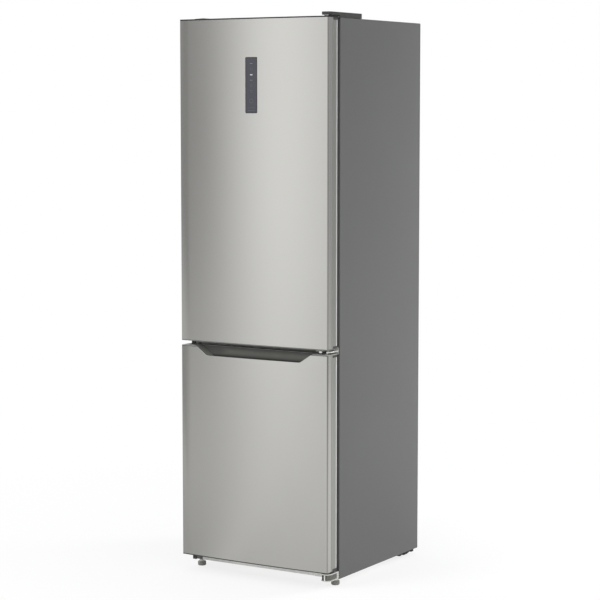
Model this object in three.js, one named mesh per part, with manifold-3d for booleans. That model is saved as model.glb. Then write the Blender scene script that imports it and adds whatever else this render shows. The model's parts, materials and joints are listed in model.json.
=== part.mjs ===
// Free-standing refrigerator with a bottom freezer, 595 mm wide.
// Millimetres. +X right, +Y back, +Z up, doors face -Y, origin on the floor under the middle.

import * as THREE from 'three';
import { mergeVertices } from 'three/addons/utils/BufferGeometryUtils.js';
import Module from 'manifold-3d';

const wasm = await Module();
wasm.setup();

// ---------- driving dimensions ----------

const WIDTH = 595;
const DEPTH = 654;              // crown of the bowed doors to the rear edge of the side panels
const BOW = 8;                  // how far a door's crown stands in front of its edges
const DOOR_THICKNESS = 62;      // at the edge
const SEAL_GAP = 16.5;          // back of the door to the front of the cabinet, filled by the gasket
const CABINET_BOTTOM = 23;
const CABINET_TOP = 1927;
const FREEZER_DOOR = { bottom: 56, top: 802 };
const FRIDGE_DOOR = { bottom: 818, top: 1930 };
const HINGE_INSET = 20.5;       // hinge axis to the side of the door
const HINGE_SETBACK = 30;       // hinge axis behind the door's front edge
const CLEAR = 0.4;              // between pieces that seat on each other

const SHEET = 1.2;              // cabinet steel
const SKIN = 1;                 // door steel
const SKIN_RETURN = 22;         // the door skin's side, before the plastic profile
const DOOR_CORNER = 1.6;
const CAP_PLATE = { top: 4, grip: 3, bottom: 3 };    // plastic end plates of the doors
const LINER = 2;                // thermoformed liner wall
const SHELL_FLANGE = 30;        // front flange of the cabinet shell

const FRIDGE_CAVITY = { half: 255.5, bottom: 858, top: 1877, back: 277 };
const FREEZER_CAVITY = { half: 240, bottom: 90, top: 778, back: 255 };
const FREEZER_STEP = { back: 70, top: 300 };       // the cavity is shallower over the compressor
const MACHINE_ROOM = { front: 118, slopeBack: 150, top: 255 };
const CENTRE_RAIL = { bottom: 784, top: 836 };
const FRONT_RAIL_TOP = 82;

const NOTCH = { halfTop: 236.5, halfBottom: 189, depth: 31.7 };   // handle cut-out in the steel
const GRIP = { lipBack: 10, pocket: 22, back: 41, block: 250 };   // scooped grip behind the cut-out
const DISPLAY = { width: 47, height: 188, bottom: 791.5, corner: 3 };

const SHELF_HEIGHTS = [1290, 1500, 1705];
const CRISPER = { half: 217, front: -140, back: 205, bottom: 859, top: 1052 };
const CRISPER_COVER_Z = 1062;
const DRAWERS = [
  { name: 'bottom', bottom: 92, height: 196, back: 62 },
  { name: 'middle', bottom: 302, height: 218, back: 186 },
  { name: 'top', bottom: 534, height: 214, back: 186 },
];
const DRAWER = { half: 217, front: -228, wall: 2.4, taper: 6 };
const BINS = [
  { name: 'bottom', z: 76, height: 104, depth: 104 },
  { name: 'middle', z: 452, height: 84, depth: 96 },
  { name: 'top', z: 800, height: 84, depth: 96 },
];

const HAND_PLUG = { x0: -265, x1: -250, y0: -306, y1: -297 };
const FOOT = { x: 276.5, y: -231, radius: 14, height: 20 };
const ROLLER = { x: 258, y: 256, radius: 17, width: 20 };
const FAN = { y: 226, z: 690, radius: 46, blades: 7 };

// ---------- derived places ----------

const HALF = WIDTH / 2;
const CROWN = -DEPTH / 2;
const DOOR_EDGE = CROWN + BOW;
const DOOR_BACK = DOOR_EDGE + DOOR_THICKNESS;
const FRONT = DOOR_BACK + SEAL_GAP;
const REAR = DEPTH / 2;
const SKIN_BACK = DOOR_EDGE + SKIN_RETURN;
const HINGE = { x: HALF - HINGE_INSET, y: DOOR_EDGE + HINGE_SETBACK };
const FREEZER_HEIGHT = FREEZER_DOOR.top - FREEZER_DOOR.bottom;
const FRIDGE_HEIGHT = FRIDGE_DOOR.top - FRIDGE_DOOR.bottom;
const MID_GAP = (FREEZER_DOOR.top + FRIDGE_DOOR.bottom) / 2;

// ---------- geometry helpers ----------

const pt = (x, y) => new THREE.Vector2(x, y);

// A geometry as a closed solid with shared corners.
function toSolid(geometry) {
  const bare = geometry.clone();
  bare.deleteAttribute('normal');
  bare.deleteAttribute('uv');
  const merged = mergeVertices(bare, 1e-4);
  return new wasm.Manifold(new wasm.Mesh({
    numProp: 3,
    vertProperties: new Float32Array(merged.attributes.position.array),
    triVerts: new Uint32Array(merged.index.array),
  }));
}

function fromSolid(solid) {
  const mesh = solid.getMesh();
  const geometry = new THREE.BufferGeometry();
  geometry.setAttribute('position', new THREE.BufferAttribute(mesh.vertProperties, 3));
  geometry.setIndex(new THREE.BufferAttribute(mesh.triVerts, 1));
  return geometry;
}

function join(...geometries) {
  return fromSolid(geometries.map(toSolid).reduce((a, b) => a.add(b)));
}

function cut(base, ...tools) {
  return fromSolid(tools.map(toSolid).reduce((a, b) => a.subtract(b), toSolid(base)));
}

function common(a, b) {
  return fromSolid(toSolid(a).intersect(toSolid(b)));
}

function box(x0, x1, y0, y1, z0, z1) {
  const geometry = new THREE.BoxGeometry(x1 - x0, y1 - y0, z1 - z0);
  return geometry.translate((x0 + x1) / 2, (y0 + y1) / 2, (z0 + z1) / 2);
}

// Directions of a 2-D outline's x, its y and its length, for each axis that it is extruded along.
const FRAMES = {
  x: [new THREE.Vector3(0, 1, 0), new THREE.Vector3(0, 0, 1), new THREE.Vector3(1, 0, 0)],
  y: [new THREE.Vector3(1, 0, 0), new THREE.Vector3(0, 0, 1), new THREE.Vector3(0, -1, 0)],
  z: [new THREE.Vector3(1, 0, 0), new THREE.Vector3(0, 1, 0), new THREE.Vector3(0, 0, 1)],
};

// Extrudes an outline: (y, z) along x, (x, z) along y, or (x, y) along z.
function prism(outline, axis, from, to, curveSegments = 2) {
  const shape = Array.isArray(outline) ? new THREE.Shape(outline) : outline;
  const geometry = new THREE.ExtrudeGeometry(shape, {
    depth: to - from,
    bevelEnabled: false,
    curveSegments,
  });
  geometry.applyMatrix4(new THREE.Matrix4().makeBasis(...FRAMES[axis]));
  const start = axis === 'y' ? -to : from;
  return geometry.translate(...FRAMES[axis][2].clone().multiplyScalar(start).toArray());
}

function roundedRect(x0, x1, y0, y1, r) {
  const shape = new THREE.Shape();
  shape.moveTo(x0 + r, y0);
  shape.lineTo(x1 - r, y0);
  shape.absarc(x1 - r, y0 + r, r, -Math.PI / 2, 0);
  shape.lineTo(x1, y1 - r);
  shape.absarc(x1 - r, y1 - r, r, 0, Math.PI / 2);
  shape.lineTo(x0 + r, y1);
  shape.absarc(x0 + r, y1 - r, r, Math.PI / 2, Math.PI);
  shape.lineTo(x0, y0 + r);
  shape.absarc(x0 + r, y0 + r, r, Math.PI, 1.5 * Math.PI);
  return shape;
}

// An upright or axis-aligned cylinder, centred at (x, y, z).
function rod(axis, radius, length, x, y, z, sides = 12) {
  const geometry = new THREE.CylinderGeometry(radius, radius, length, sides);
  if (axis === 'x') geometry.rotateZ(Math.PI / 2);
  if (axis === 'z') geometry.rotateX(Math.PI / 2);
  return geometry.translate(x, y, z);
}

// A profile of [radius, height] points turned about the vertical axis.
function turned(profile, sides = 20) {
  const geometry = new THREE.LatheGeometry(profile.map(([r, h]) => pt(r, h)), sides);
  return geometry.rotateX(Math.PI / 2);
}

// A rectangular frame in the XZ plane whose section, given as [inset, y] points, is mitred at the corners.
function mitredFrame(section, x0, x1, z0, z1) {
  const clockwise = THREE.ShapeUtils.isClockWise(section.map(([u, v]) => pt(u, v)));
  const ring = clockwise ? section.slice().reverse() : section;
  const corners = [[x0, z0, 1, 1], [x1, z0, -1, 1], [x1, z1, -1, -1], [x0, z1, 1, -1]];
  const vertices = [];
  for (const [x, z, sx, sz] of corners) {
    for (const [inset, y] of ring) vertices.push(x + sx * inset, y, z + sz * inset);
  }
  const n = ring.length;
  const indices = [];
  for (let side = 0; side < 4; side += 1) {
    const next = (side + 1) % 4;
    for (let i = 0; i < n; i += 1) {
      const j = (i + 1) % n;
      const [a, b, c, d] = [side * n + i, side * n + j, next * n + j, next * n + i];
      indices.push(a, c, b, a, d, c);
    }
  }
  const geometry = new THREE.BufferGeometry();
  geometry.setAttribute('position', new THREE.Float32BufferAttribute(vertices, 3));
  geometry.setIndex(indices);
  return geometry;
}

// A polyline of [u, v] points moved to the left of its direction by a distance.
function offsetLine(points, distance) {
  const path = points.map(([u, v]) => pt(u, v));
  const normal = (a, b) => {
    const d = b.clone().sub(a).normalize();
    return pt(-d.y, d.x);
  };
  return path.map((p, i) => {
    const before = i > 0 ? normal(path[i - 1], p) : null;
    const after = i < path.length - 1 ? normal(p, path[i + 1]) : null;
    const n = before && after ? before.clone().add(after) : (before || after).clone();
    n.normalize();
    return p.clone().addScaledVector(n, distance / n.dot(before || after));
  });
}

// A sheet of even thickness to the left of a polyline, as an outline.
function sheetOutline(points, thickness) {
  return [...points.map(([u, v]) => pt(u, v)), ...offsetLine(points, thickness).reverse()];
}

// The other hand of a geometry.
function mirroredX(geometry) {
  const index = geometry.index.array.slice();
  for (let i = 0; i < index.length; i += 3) [index[i], index[i + 1]] = [index[i + 1], index[i]];
  return geometry.clone().scale(-1, 1, 1).setIndex(new THREE.BufferAttribute(index, 1));
}

// Moves the vertices of an upright prism outward in proportion to their height.
function flare(geometry, zBottom, zTop, grow, centreX, centreY) {
  const position = geometry.attributes.position;
  for (let i = 0; i < position.count; i += 1) {
    const t = (position.getZ(i) - zBottom) / (zTop - zBottom);
    position.setX(i, position.getX(i) + Math.sign(position.getX(i) - centreX) * grow * t);
    position.setY(i, position.getY(i) + Math.sign(position.getY(i) - centreY) * grow * t);
  }
  return geometry;
}

// ---------- finishes ----------

const FINISHES = {
  inox: [0xd4d3cf, 0.3, 0.95],
  paint: [0x6d6d6d, 0.45, 0.3],
  galvanised: [0xc9cac8, 0.4, 0.8],
  zinc: [0xdcdbd5, 0.3, 0.9],
  black_steel: [0x1c1c1d, 0.45, 0.6],
  copper: [0xb06a43, 0.35, 0.9],
  aluminium: [0xc3c5c8, 0.35, 0.9],
  grey_trim: [0xb2b3ae, 0.35, 0.8],
  dark_plastic: [0x3a3b39, 0.5, 0],
  black_plastic: [0x161617, 0.5, 0],
  white_plastic: [0xe9ebea, 0.35, 0],
  clear_plastic: [0xe6edf0, 0.15, 0],
  foot_grey: [0x9e9e98, 0.6, 0],
  gasket: [0x55585a, 0.75, 0],
  foam: [0xe3d9a6, 0.95, 0],
  glass: [0xd5e6e2, 0.08, 0],
  display: [0x3e3e48, 0.12, 0],
};

function piece(parent, name, geometry, finish) {
  const [color, roughness, metalness] = FINISHES[finish];
  const mesh = new THREE.Mesh(
    geometry,
    new THREE.MeshStandardMaterial({ color, roughness, metalness }),
  );
  mesh.name = name;
  parent.add(mesh);
  return mesh;
}

const refrigerator = new THREE.Group();
const cabinet = new THREE.Group();
refrigerator.add(cabinet);

// ---------- cabinet ----------

// One steel sheet over both sides and the top, folded inward round the front.
function cabinetShell() {
  const arch = (inset) => {
    const half = HALF - inset;
    const top = CABINET_TOP - inset;
    const r = 3 - inset;
    const shape = new THREE.Shape();
    shape.moveTo(-half, CABINET_BOTTOM - (inset > 0 ? 5 : 0));
    shape.lineTo(half, CABINET_BOTTOM - (inset > 0 ? 5 : 0));
    shape.lineTo(half, top - r);
    shape.absarc(half - r, top - r, r, 0, Math.PI / 2);
    shape.lineTo(-half + r, top);
    shape.absarc(-half + r, top - r, r, Math.PI / 2, Math.PI);
    return shape;
  };
  const mouth = HALF - SHELL_FLANGE;
  return cut(
    prism(arch(0), 'y', FRONT, REAR),
    prism(arch(SHEET), 'y', FRONT + SHEET, REAR + 5),
    box(-mouth, mouth, FRONT - 5, FRONT + 5, CABINET_BOTTOM - 5, CABINET_TOP - SHELL_FLANGE),
  );
}

// Section of the floor from the back: machine-room roof, its sloping wall, and the bottom.
const BASE_LINE = [
  [REAR - 4.5, MACHINE_ROOM.top + 6],
  [MACHINE_ROOM.slopeBack, MACHINE_ROOM.top],
  [MACHINE_ROOM.front, CABINET_BOTTOM + 1],
  [FRONT + SHEET + CLEAR, CABINET_BOTTOM + 1],
];

// The galvanised floor: front rail, bottom, sloping machine-room wall and its roof in one folded sheet.
function basePanel() {
  const half = HALF - SHEET - CLEAR;
  const inner = HALF - SHELL_FLANGE - CLEAR;
  const sheet = prism(sheetOutline(BASE_LINE, -SHEET), 'x', -half, half);
  const rail = box(-inner, inner, FRONT, FRONT + SHEET + CLEAR + 0.2, CABINET_BOTTOM, FRONT_RAIL_TOP);
  const lip = box(-inner, inner, FRONT, FRONT + 14, FRONT_RAIL_TOP - SHEET, FRONT_RAIL_TOP);
  const foot = FOOT.radius * 0.36;
  return cut(
    join(sheet, rail, lip),
    rod('z', foot, 30, FOOT.x, FOOT.y, CABINET_BOTTOM),
    rod('z', foot, 30, -FOOT.x, FOOT.y, CABINET_BOTTOM),
  );
}

// The rail across the front between the two compartments.
function centreRail() {
  const { bottom, top } = CENTRE_RAIL;
  const inner = HALF - SHELL_FLANGE - CLEAR;
  return prism(sheetOutline([
    [FRONT + 16, bottom],
    [FRONT, bottom],
    [FRONT, top],
    [FRONT + 16, top],
  ], -SHEET), 'x', -inner, inner);
}

// The flat back, stiffened by four shallow pressed channels.
function rearPanel() {
  const half = HALF - SHEET - CLEAR;
  const y = REAR - 3.4;
  const line = [[-half, y]];
  for (const x of [-210, -80, 50, 180]) {
    line.push([x, y], [x + 5, y + 1.8], [x + 25, y + 1.8], [x + 30, y]);
  }
  line.push([half, y]);
  return prism(sheetOutline(line, 0.8), 'z', MACHINE_ROOM.top + 9, CABINET_TOP - SHEET - 1.5);
}

// Envelope of the freezer cavity, grown by g: deep above, shallow over the machine room.
function freezerEnvelope(g, front) {
  const { half, bottom, top, back } = FREEZER_CAVITY;
  const r = 18 + g;
  return join(
    prism(roundedRect(-half - g, half + g, bottom - g, top + g, r), 'y', front, FREEZER_STEP.back + g),
    prism(
      roundedRect(-half - g, half + g, FREEZER_STEP.top - g, top + g, r),
      'y', FREEZER_STEP.back - 60, back + g,
    ),
  );
}

function fridgeEnvelope(g, front) {
  const { half, bottom, top, back } = FRIDGE_CAVITY;
  return prism(roundedRect(-half - g, half + g, bottom - g, top + g, 18 + g), 'y', front, back + g);
}

// Rigid foam between the steel and the two liners.
function foamInsulation() {
  const half = HALF - SHEET - CLEAR;
  const front = FRONT + LINER + CLEAR;
  const inner = HALF - SHELL_FLANGE;
  const gap = LINER + CLEAR;
  const block = box(-half, half, front, REAR - 4.6, CABINET_BOTTOM, CABINET_TOP - SHEET - 1.5);
  const below = offsetLine(BASE_LINE, -SHEET - CLEAR);
  const room = prism([
    ...below,
    pt(FRONT - 5, below.at(-1).y),
    pt(FRONT - 5, 0),
    pt(REAR + 5, 0),
    pt(REAR + 5, below[0].y),
  ], 'x', -HALF - 5, HALF + 5);
  return cut(
    block,
    room,
    fridgeEnvelope(gap, FRONT - 10),
    freezerEnvelope(gap, FRONT - 10),
    box(-inner, inner, FRONT - 10, FRONT + 18, CENTRE_RAIL.bottom - 1, CENTRE_RAIL.top + 1),
    box(-inner, inner, FRONT - 10, FRONT + 15, CABINET_BOTTOM - 5, FRONT_RAIL_TOP + CLEAR),
    rod('z', 8, 60, FOOT.x, FOOT.y, CABINET_BOTTOM),
    rod('z', 8, 60, -FOOT.x, FOOT.y, CABINET_BOTTOM),
  );
}

// A pair of ledges on the side walls that carry a shelf or a drawer.
function ledges(half, reach, y0, y1, top) {
  const profile = (side) => [
    pt(side * (half + 1), top - 16),
    pt(side * (half + 1), top),
    pt(side * (half - reach), top),
    pt(side * (half - reach), top - 5),
  ];
  return [-1, 1].map((side) => prism(profile(side), 'y', y0, y1));
}

function fridgeLiner() {
  const { half, top } = FRIDGE_CAVITY;
  const inner = HALF - SHELL_FLANGE - CLEAR;
  const rim = box(
    -inner, inner, FRONT, FRONT + LINER, CENTRE_RAIL.top + CLEAR, CABINET_TOP - SHELL_FLANGE - CLEAR,
  );
  const rows = [...SHELF_HEIGHTS, CRISPER_COVER_Z].flatMap(
    (z) => ledges(half, 12, -118, 236, z - CLEAR),
  );
  const hollow = cut(join(rim, fridgeEnvelope(LINER, FRONT)), fridgeEnvelope(0, FRONT - 10));
  const lampSeat = box(-60, 60, -50, 10, top - 1, top + LINER);
  return join(hollow, ...rows, lampSeat);
}

function freezerLiner() {
  const { half } = FREEZER_CAVITY;
  const inner = HALF - SHELL_FLANGE - CLEAR;
  const rim = box(-inner, inner, FRONT, FRONT + LINER, FRONT_RAIL_TOP + CLEAR, CENTRE_RAIL.bottom - CLEAR);
  const rows = DRAWERS.slice(1).flatMap(({ bottom }) => {
    const back = bottom > FREEZER_STEP.top + 20 ? 180 : FREEZER_STEP.back - 4;
    return ledges(half, 32, -200, back, bottom - CLEAR);
  });
  const hollow = cut(join(rim, freezerEnvelope(LINER, FRONT)), freezerEnvelope(0, FRONT - 10));
  return join(hollow, ...rows);
}

piece(cabinet, 'cabinet_shell', cabinetShell(), 'paint');
piece(cabinet, 'base_panel', basePanel(), 'galvanised');
piece(cabinet, 'centre_rail', centreRail(), 'paint');
piece(cabinet, 'rear_panel', rearPanel(), 'galvanised');
piece(cabinet, 'foam_insulation', foamInsulation(), 'foam');
piece(cabinet, 'fridge_liner', fridgeLiner(), 'white_plastic');
piece(cabinet, 'freezer_liner', freezerLiner(), 'white_plastic');

// ---------- inside the refrigerator compartment ----------

// Glass plate with a moulded front trim and a rear upstand, seen as one section along X.
function shelf(trimHeight) {
  const front = -132;
  const back = 246;
  const section = new THREE.Shape();
  section.moveTo(front, 3);
  section.quadraticCurveTo(front - 6, 3, front - 6, 3 - trimHeight / 2);
  section.quadraticCurveTo(front - 6, 3 - trimHeight, front, 3 - trimHeight);
  section.lineTo(front + 6, 3 - trimHeight);
  section.lineTo(front + 8, 0);
  section.lineTo(back - 10, 0);
  section.lineTo(back, 0);
  section.lineTo(back, 16);
  section.lineTo(back - 4, 16);
  section.lineTo(back - 8, 4);
  section.lineTo(front + 10, 4);
  const half = FRIDGE_CAVITY.half - 3;
  const plate = prism(section, 'x', -half, half, 3);
  const notch = half - 12;
  return cut(
    plate,
    box(-half - 1, -notch, front - 10, front + 16, -30, -CLEAR),
    box(notch, half + 1, front - 10, front + 16, -30, -CLEAR),
  );
}

SHELF_HEIGHTS.forEach((z, i) => {
  piece(cabinet, `glass_shelf_${i + 1}`, shelf(16), 'glass').position.z = z;
});
piece(cabinet, 'crisper_cover_shelf', shelf(9), 'glass').position.z = CRISPER_COVER_Z;

// Air duct down the middle of the back wall, with a pair of outlets above each shelf.
function airDuct() {
  const back = FRIDGE_CAVITY.back - CLEAR;
  const z0 = 1085;
  const z1 = 1846;
  const shell = prism([
    pt(-72, back), pt(-52, back - 24), pt(52, back - 24), pt(72, back),
    pt(66, back), pt(49, back - 21), pt(-49, back - 21), pt(-66, back),
  ], 'z', z0, z1);
  const ends = [z0, z1 - 3].map((z) => prism([
    pt(-71, back - 0.5), pt(-51, back - 23), pt(51, back - 23), pt(71, back - 0.5),
  ], 'z', z, z + 3));
  const slots = [];
  for (const z of [1180, 1390, 1600, 1790]) {
    for (const side of [-1, 1]) {
      for (let row = 0; row < 2; row += 1) {
        const x = side * 30;
        slots.push(box(x - 14, x + 14, back - 30, back - 18, z + row * 10, z + row * 10 + 5));
      }
    }
  }
  return cut(join(shell, ...ends), ...slots);
}

// Lens of the ceiling lamp.
function lampLens() {
  const top = FRIDGE_CAVITY.top - 1 - CLEAR;
  return prism([
    pt(-58, top), pt(-52, top - 9), pt(52, top - 9), pt(58, top),
  ], 'y', -46, 6);
}

piece(cabinet, 'fridge_air_duct', airDuct(), 'white_plastic');
piece(cabinet, 'fridge_lamp', lampLens(), 'clear_plastic');

// A moulded tub, open on top, that widens upward, with a front wall of its own height.
function tub({ half, front, back, height, wall, taper, corner }) {
  const outer = (inset, z0) => flare(
    prism(
      roundedRect(
        -half + taper + inset, half - taper - inset,
        front + taper + inset, back - taper - inset, Math.max(corner - inset, 1),
      ),
      'z', z0, height + z0,
    ),
    z0, height + z0, taper, 0, (front + back) / 2,
  );
  return cut(outer(0, 0), outer(wall, wall));
}

// A pull-out drawer: a tub behind an upright fascia with a grip slot under its top edge.
function drawer({ half, front, back, height, wall, taper, fascia }) {
  const body = tub({ half: half - 2, front: front + 3, back, height: height - 14, wall, taper, corner: 14 });
  const panel = prism(roundedRect(-half, half, 0, height, 8), 'y', front, front + 9);
  const grip = prism(roundedRect(-85, 85, height - 34, height - 14, 9), 'y', front - 5, front + 5.5);
  const scoop = prism([
    pt(front + 2.5, height - 33), pt(front + 5.5, height - 33), pt(front + 5.5, height - 8),
  ], 'x', -78, 78);
  const relief = box(-half + 12, half - 12, front - 5, front + fascia, 12, height - 40);
  return cut(join(body, panel), grip, scoop, relief);
}

const fridgeInterior = new THREE.Group();
const freezerInterior = new THREE.Group();
refrigerator.add(fridgeInterior, freezerInterior);

piece(fridgeInterior, 'crisper_drawer', drawer({
  ...CRISPER, height: CRISPER.top - CRISPER.bottom, wall: 2.5, taper: 8, fascia: 1,
}), 'clear_plastic').position.z = CRISPER.bottom;

// ---------- inside the freezer compartment ----------

for (const d of DRAWERS) {
  piece(
    freezerInterior, `freezer_drawer_${d.name}`, drawer({ ...DRAWER, ...d, fascia: 1 }), 'clear_plastic',
  ).position.z = d.bottom;
}

// Cover in front of the evaporator: outlet slots over each drawer and the fan's motor mount.
function freezerAirCover() {
  const y = 192;
  const { half, top } = FREEZER_CAVITY;
  const width = half - 4;
  const z0 = FREEZER_STEP.top + 1;
  const panel = prism(roundedRect(-width, width, z0, top - 4, 14), 'y', y, y + 3);
  const flange = cut(
    prism(roundedRect(-width, width, z0, top - 4, 14), 'y', y + 2, y + 22),
    prism(roundedRect(-width + 3, width - 3, z0 + 3, top - 7, 11), 'y', y, y + 30),
  );
  const slots = [];
  for (const z of [340, 500, 560]) {
    for (let i = -1.5; i <= 1.5; i += 1) {
      slots.push(box(i * 100 - 36, i * 100 + 36, y - 5, y + 5, z, z + 6));
    }
  }
  const grille = [];
  for (const r of [18, 32]) {
    const ring = new THREE.Shape().absarc(0, FAN.z, r + 9, 0, 2 * Math.PI);
    ring.holes.push(new THREE.Path().absarc(0, FAN.z, r, 0, 2 * Math.PI, true));
    grille.push(cut(
      prism(ring, 'y', y - 5, y + 5, 7),
      box(-60, 60, y - 6, y + 6, FAN.z - 3, FAN.z + 3),
      box(-3, 3, y - 6, y + 6, FAN.z - 60, FAN.z + 60),
    ));
  }
  const motor = rod('y', 12, 16, 0, y + 10, FAN.z, 16);
  return cut(join(panel, flange, motor), ...slots, ...grille);
}

// Fan rotor: a hub with raked blades.
function fanRotor() {
  const hub = rod('y', 14, 18, 0, 0, 0, 12);
  const blades = [];
  for (let i = 0; i < FAN.blades; i += 1) {
    const blade = box(-9, 9, -1, 1, 10, FAN.radius);
    blade.rotateZ(0.6);
    blade.rotateY((i * 2 * Math.PI) / FAN.blades);
    blades.push(blade);
  }
  return join(hub, ...blades);
}

// Finned evaporator coil: fins across a flat tube bank.
function evaporator() {
  const half = 186;
  const pitch = 18;
  const count = Math.floor((2 * half) / pitch);
  const line = [];
  for (let i = 0; i <= count; i += 1) {
    const x = -half + i * pitch;
    line.push(pt(x, 22), pt(x + 1.6, 22), pt(x + 1.6, 7));
    if (i < count) line.push(pt(x + pitch, 7));
  }
  const mirrored = line.slice().reverse().map((p) => pt(p.x, -p.y));
  return prism([...line, ...mirrored], 'z', 0, 190);
}

piece(cabinet, 'freezer_air_cover', freezerAirCover(), 'white_plastic');
const fan = piece(refrigerator, 'evaporator_fan', fanRotor(), 'black_plastic');
fan.position.set(0, FAN.y, FAN.z);
const coil = piece(cabinet, 'evaporator', evaporator(), 'aluminium');
coil.position.set(0, FREEZER_CAVITY.back - 26, 430);

// ---------- machine room ----------

// Folded tray across the back that carries the compressor.
function compressorTray() {
  const half = HALF - SHEET - CLEAR - 1;
  const y0 = MACHINE_ROOM.front + 14;
  const tray = prism(sheetOutline([
    [y0, CABINET_BOTTOM + 16],
    [y0, CABINET_BOTTOM + 1],
    [REAR - 12, CABINET_BOTTOM + 1],
    [REAR - 12, CABINET_BOTTOM + 14],
  ], 1.6), 'x', -half, half);
  const { x, y, radius, width } = ROLLER;
  const w = width / 2 + 3;
  const windows = [-1, 1].map((side) => box(
    side * x - w, side * x + w, y - radius - 3, y + radius + 3, CABINET_BOTTOM, CABINET_BOTTOM + 5,
  ));
  return cut(tray, ...windows);
}

// Hermetic compressor: a welded two-part can on a footed plate with rubber mounts.
function compressor() {
  const can = turned([
    [0, 14], [48, 15], [66, 24], [76, 44], [78, 86], [82, 88], [82, 94], [78, 96],
    [75, 128], [62, 152], [36, 164], [0, 167],
  ], 16);
  const plate = prism(roundedRect(-92, 92, -66, 66, 14), 'z', 10, 14.5);
  const mounts = [];
  for (const x of [-78, 78]) {
    for (const y of [-52, 52]) {
      const mount = turned([[0, 0], [11, 0], [8, 5], [11, 10.5], [0, 10.5]], 6);
      mounts.push(mount.translate(x, y, 0));
    }
  }
  const stub = rod('x', 5, 24, 84, 20, 70, 10);
  return join(can, plate, ...mounts, stub);
}

const COMPRESSOR = { x: 120, y: 228, z: CABINET_BOTTOM + 1 + 1.6 + CLEAR };

// Pressed roller housing that the rear wheel turns in.
function rollerBracket(side) {
  const { x, y, radius, width } = ROLLER;
  const gap = 1.5;
  const top = CABINET_BOTTOM + 1 - CLEAR;
  const cheek = new THREE.Shape();
  cheek.moveTo(y - 26, top);
  cheek.lineTo(y + 34, top);
  cheek.lineTo(y + 34, 12);
  cheek.quadraticCurveTo(y + 22, 8, y + 8, 8);
  cheek.lineTo(y - 8, 8);
  cheek.lineTo(y - 14, 14);
  const inner = prism(cheek, 'x', x - width / 2 - gap - 3, x - width / 2 - gap);
  const outer = prism(cheek, 'x', x + width / 2 + gap, x + width / 2 + gap + 14);
  const bridge = box(
    x - width / 2 - gap - 3, x + width / 2 + gap + 14,
    y + radius + gap + 1, y + 34, 13, top,
  );
  const heel = prism([
    pt(y + 30, top), pt(y + 30, top - 4), pt(y + 46, top - 5), pt(y + 49, 9), pt(y + 66, 9), pt(y + 66, top),
  ], 'x', x + width / 2 + gap, x + width / 2 + gap + 14);
  const axle = rod('x', 3.2, width + 2 * gap + 8, x + 1, y, radius, 12);
  const right = join(inner, outer, bridge, heel, axle);
  return side > 0 ? right : mirroredX(right);
}

// Wheel with a rounded tread and a bore for its axle.
function roller() {
  const { radius, width } = ROLLER;
  const w = width / 2;
  const profile = [
    [3.8, -w], [radius - 5, -w], [radius - 1.5, -w + 1.5], [radius, -w + 5],
    [radius, w - 5], [radius - 1.5, w - 1.5], [radius - 5, w], [3.8, w], [3.8, -w],
  ];
  return turned(profile, 16).rotateY(Math.PI / 2);
}

// Shallow tray on the compressor where defrost water evaporates.
function evaporationTray() {
  return tub({ half: 86, front: -56, back: 60, height: 34, wall: 2, taper: 4, corner: 16 });
}

// Copper discharge line from the compressor along the machine room and up its wall.
function dischargeTube() {
  const { x, y, z } = COMPRESSOR;
  const start = [x + 96 + CLEAR, y + 20, z + 70];
  const roof = MACHINE_ROOM.top + 2.4;
  const route = new THREE.CatmullRomCurve3([
    start, [x + 108, y + 20, z + 71], [x + 134, y + 26, z + 92], [x + 136, y + 58, z + 130],
    [x + 100, y + 72, z + 164], [x, y + 74, z + 170], [x - 130, y + 72, z + 164],
    [x - 250, y + 52, z + 120], [x - 300, y + 12, z + 84], [x - 320, y - 10, z + 120],
    [x - 322, y, z + 200], [x - 322, y, roof],
  ].map((p) => new THREE.Vector3(...p)));
  const section = new THREE.Shape().absarc(0, 0, 3.2, 0, 2 * Math.PI);
  return new THREE.ExtrudeGeometry(section, {
    steps: 36, curveSegments: 3, bevelEnabled: false, extrudePath: route,
  });
}

// Louvred cover over the machine room.
function machineRoomCover() {
  const louvre = (x, z) => [
    pt(x, z + 3), pt(x + 3, z), pt(x + 137, z), pt(x + 140, z + 3),
    pt(x + 140, z + 6), pt(x + 137, z + 9), pt(x + 3, z + 9), pt(x, z + 6),
  ];
  const half = HALF - SHEET - CLEAR - 1;
  const y = REAR - 5;
  const plate = prism(roundedRect(-half, half, 40, MACHINE_ROOM.top + 2, 6), 'y', y, y + 2);
  const slots = [];
  for (const x of [-170, 30]) {
    for (let row = 0; row < 7; row += 1) {
      const z = 72 + row * 22;
      slots.push(prism(louvre(x, z), 'y', y - 5, y + 5));
    }
  }
  const rim = cut(
    prism(roundedRect(-half, half, 40, MACHINE_ROOM.top + 2, 6), 'y', y - 8, y + 1),
    prism(roundedRect(-half + 2, half - 2, 42, MACHINE_ROOM.top, 4), 'y', y - 20, y + 5),
  );
  return cut(join(plate, rim), ...slots);
}

piece(cabinet, 'compressor_tray', compressorTray(), 'galvanised');
const pump = new THREE.Group();
pump.position.set(COMPRESSOR.x, COMPRESSOR.y, COMPRESSOR.z);
cabinet.add(pump);
piece(pump, 'compressor', compressor(), 'black_steel');
const relay = piece(
  pump, 'compressor_relay_box', prism(roundedRect(-24, 24, 0, 62, 6), 'x', 0, 30), 'black_plastic',
);
relay.position.set(-114, 0, 44);
const pan = piece(pump, 'evaporation_tray', evaporationTray(), 'dark_plastic');
pan.position.set(-16, -14, 167.6);
piece(cabinet, 'discharge_tube', dischargeTube(), 'copper');
piece(cabinet, 'machine_room_cover', machineRoomCover(), 'black_plastic');

for (const [name, side] of [['left', -1], ['right', 1]]) {
  piece(cabinet, `roller_bracket_${name}`, rollerBracket(side), 'black_plastic');
  const wheel = piece(refrigerator, `rear_roller_${name}`, roller(), 'black_plastic');
  wheel.position.set(side * ROLLER.x, ROLLER.y, ROLLER.radius);
}

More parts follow.
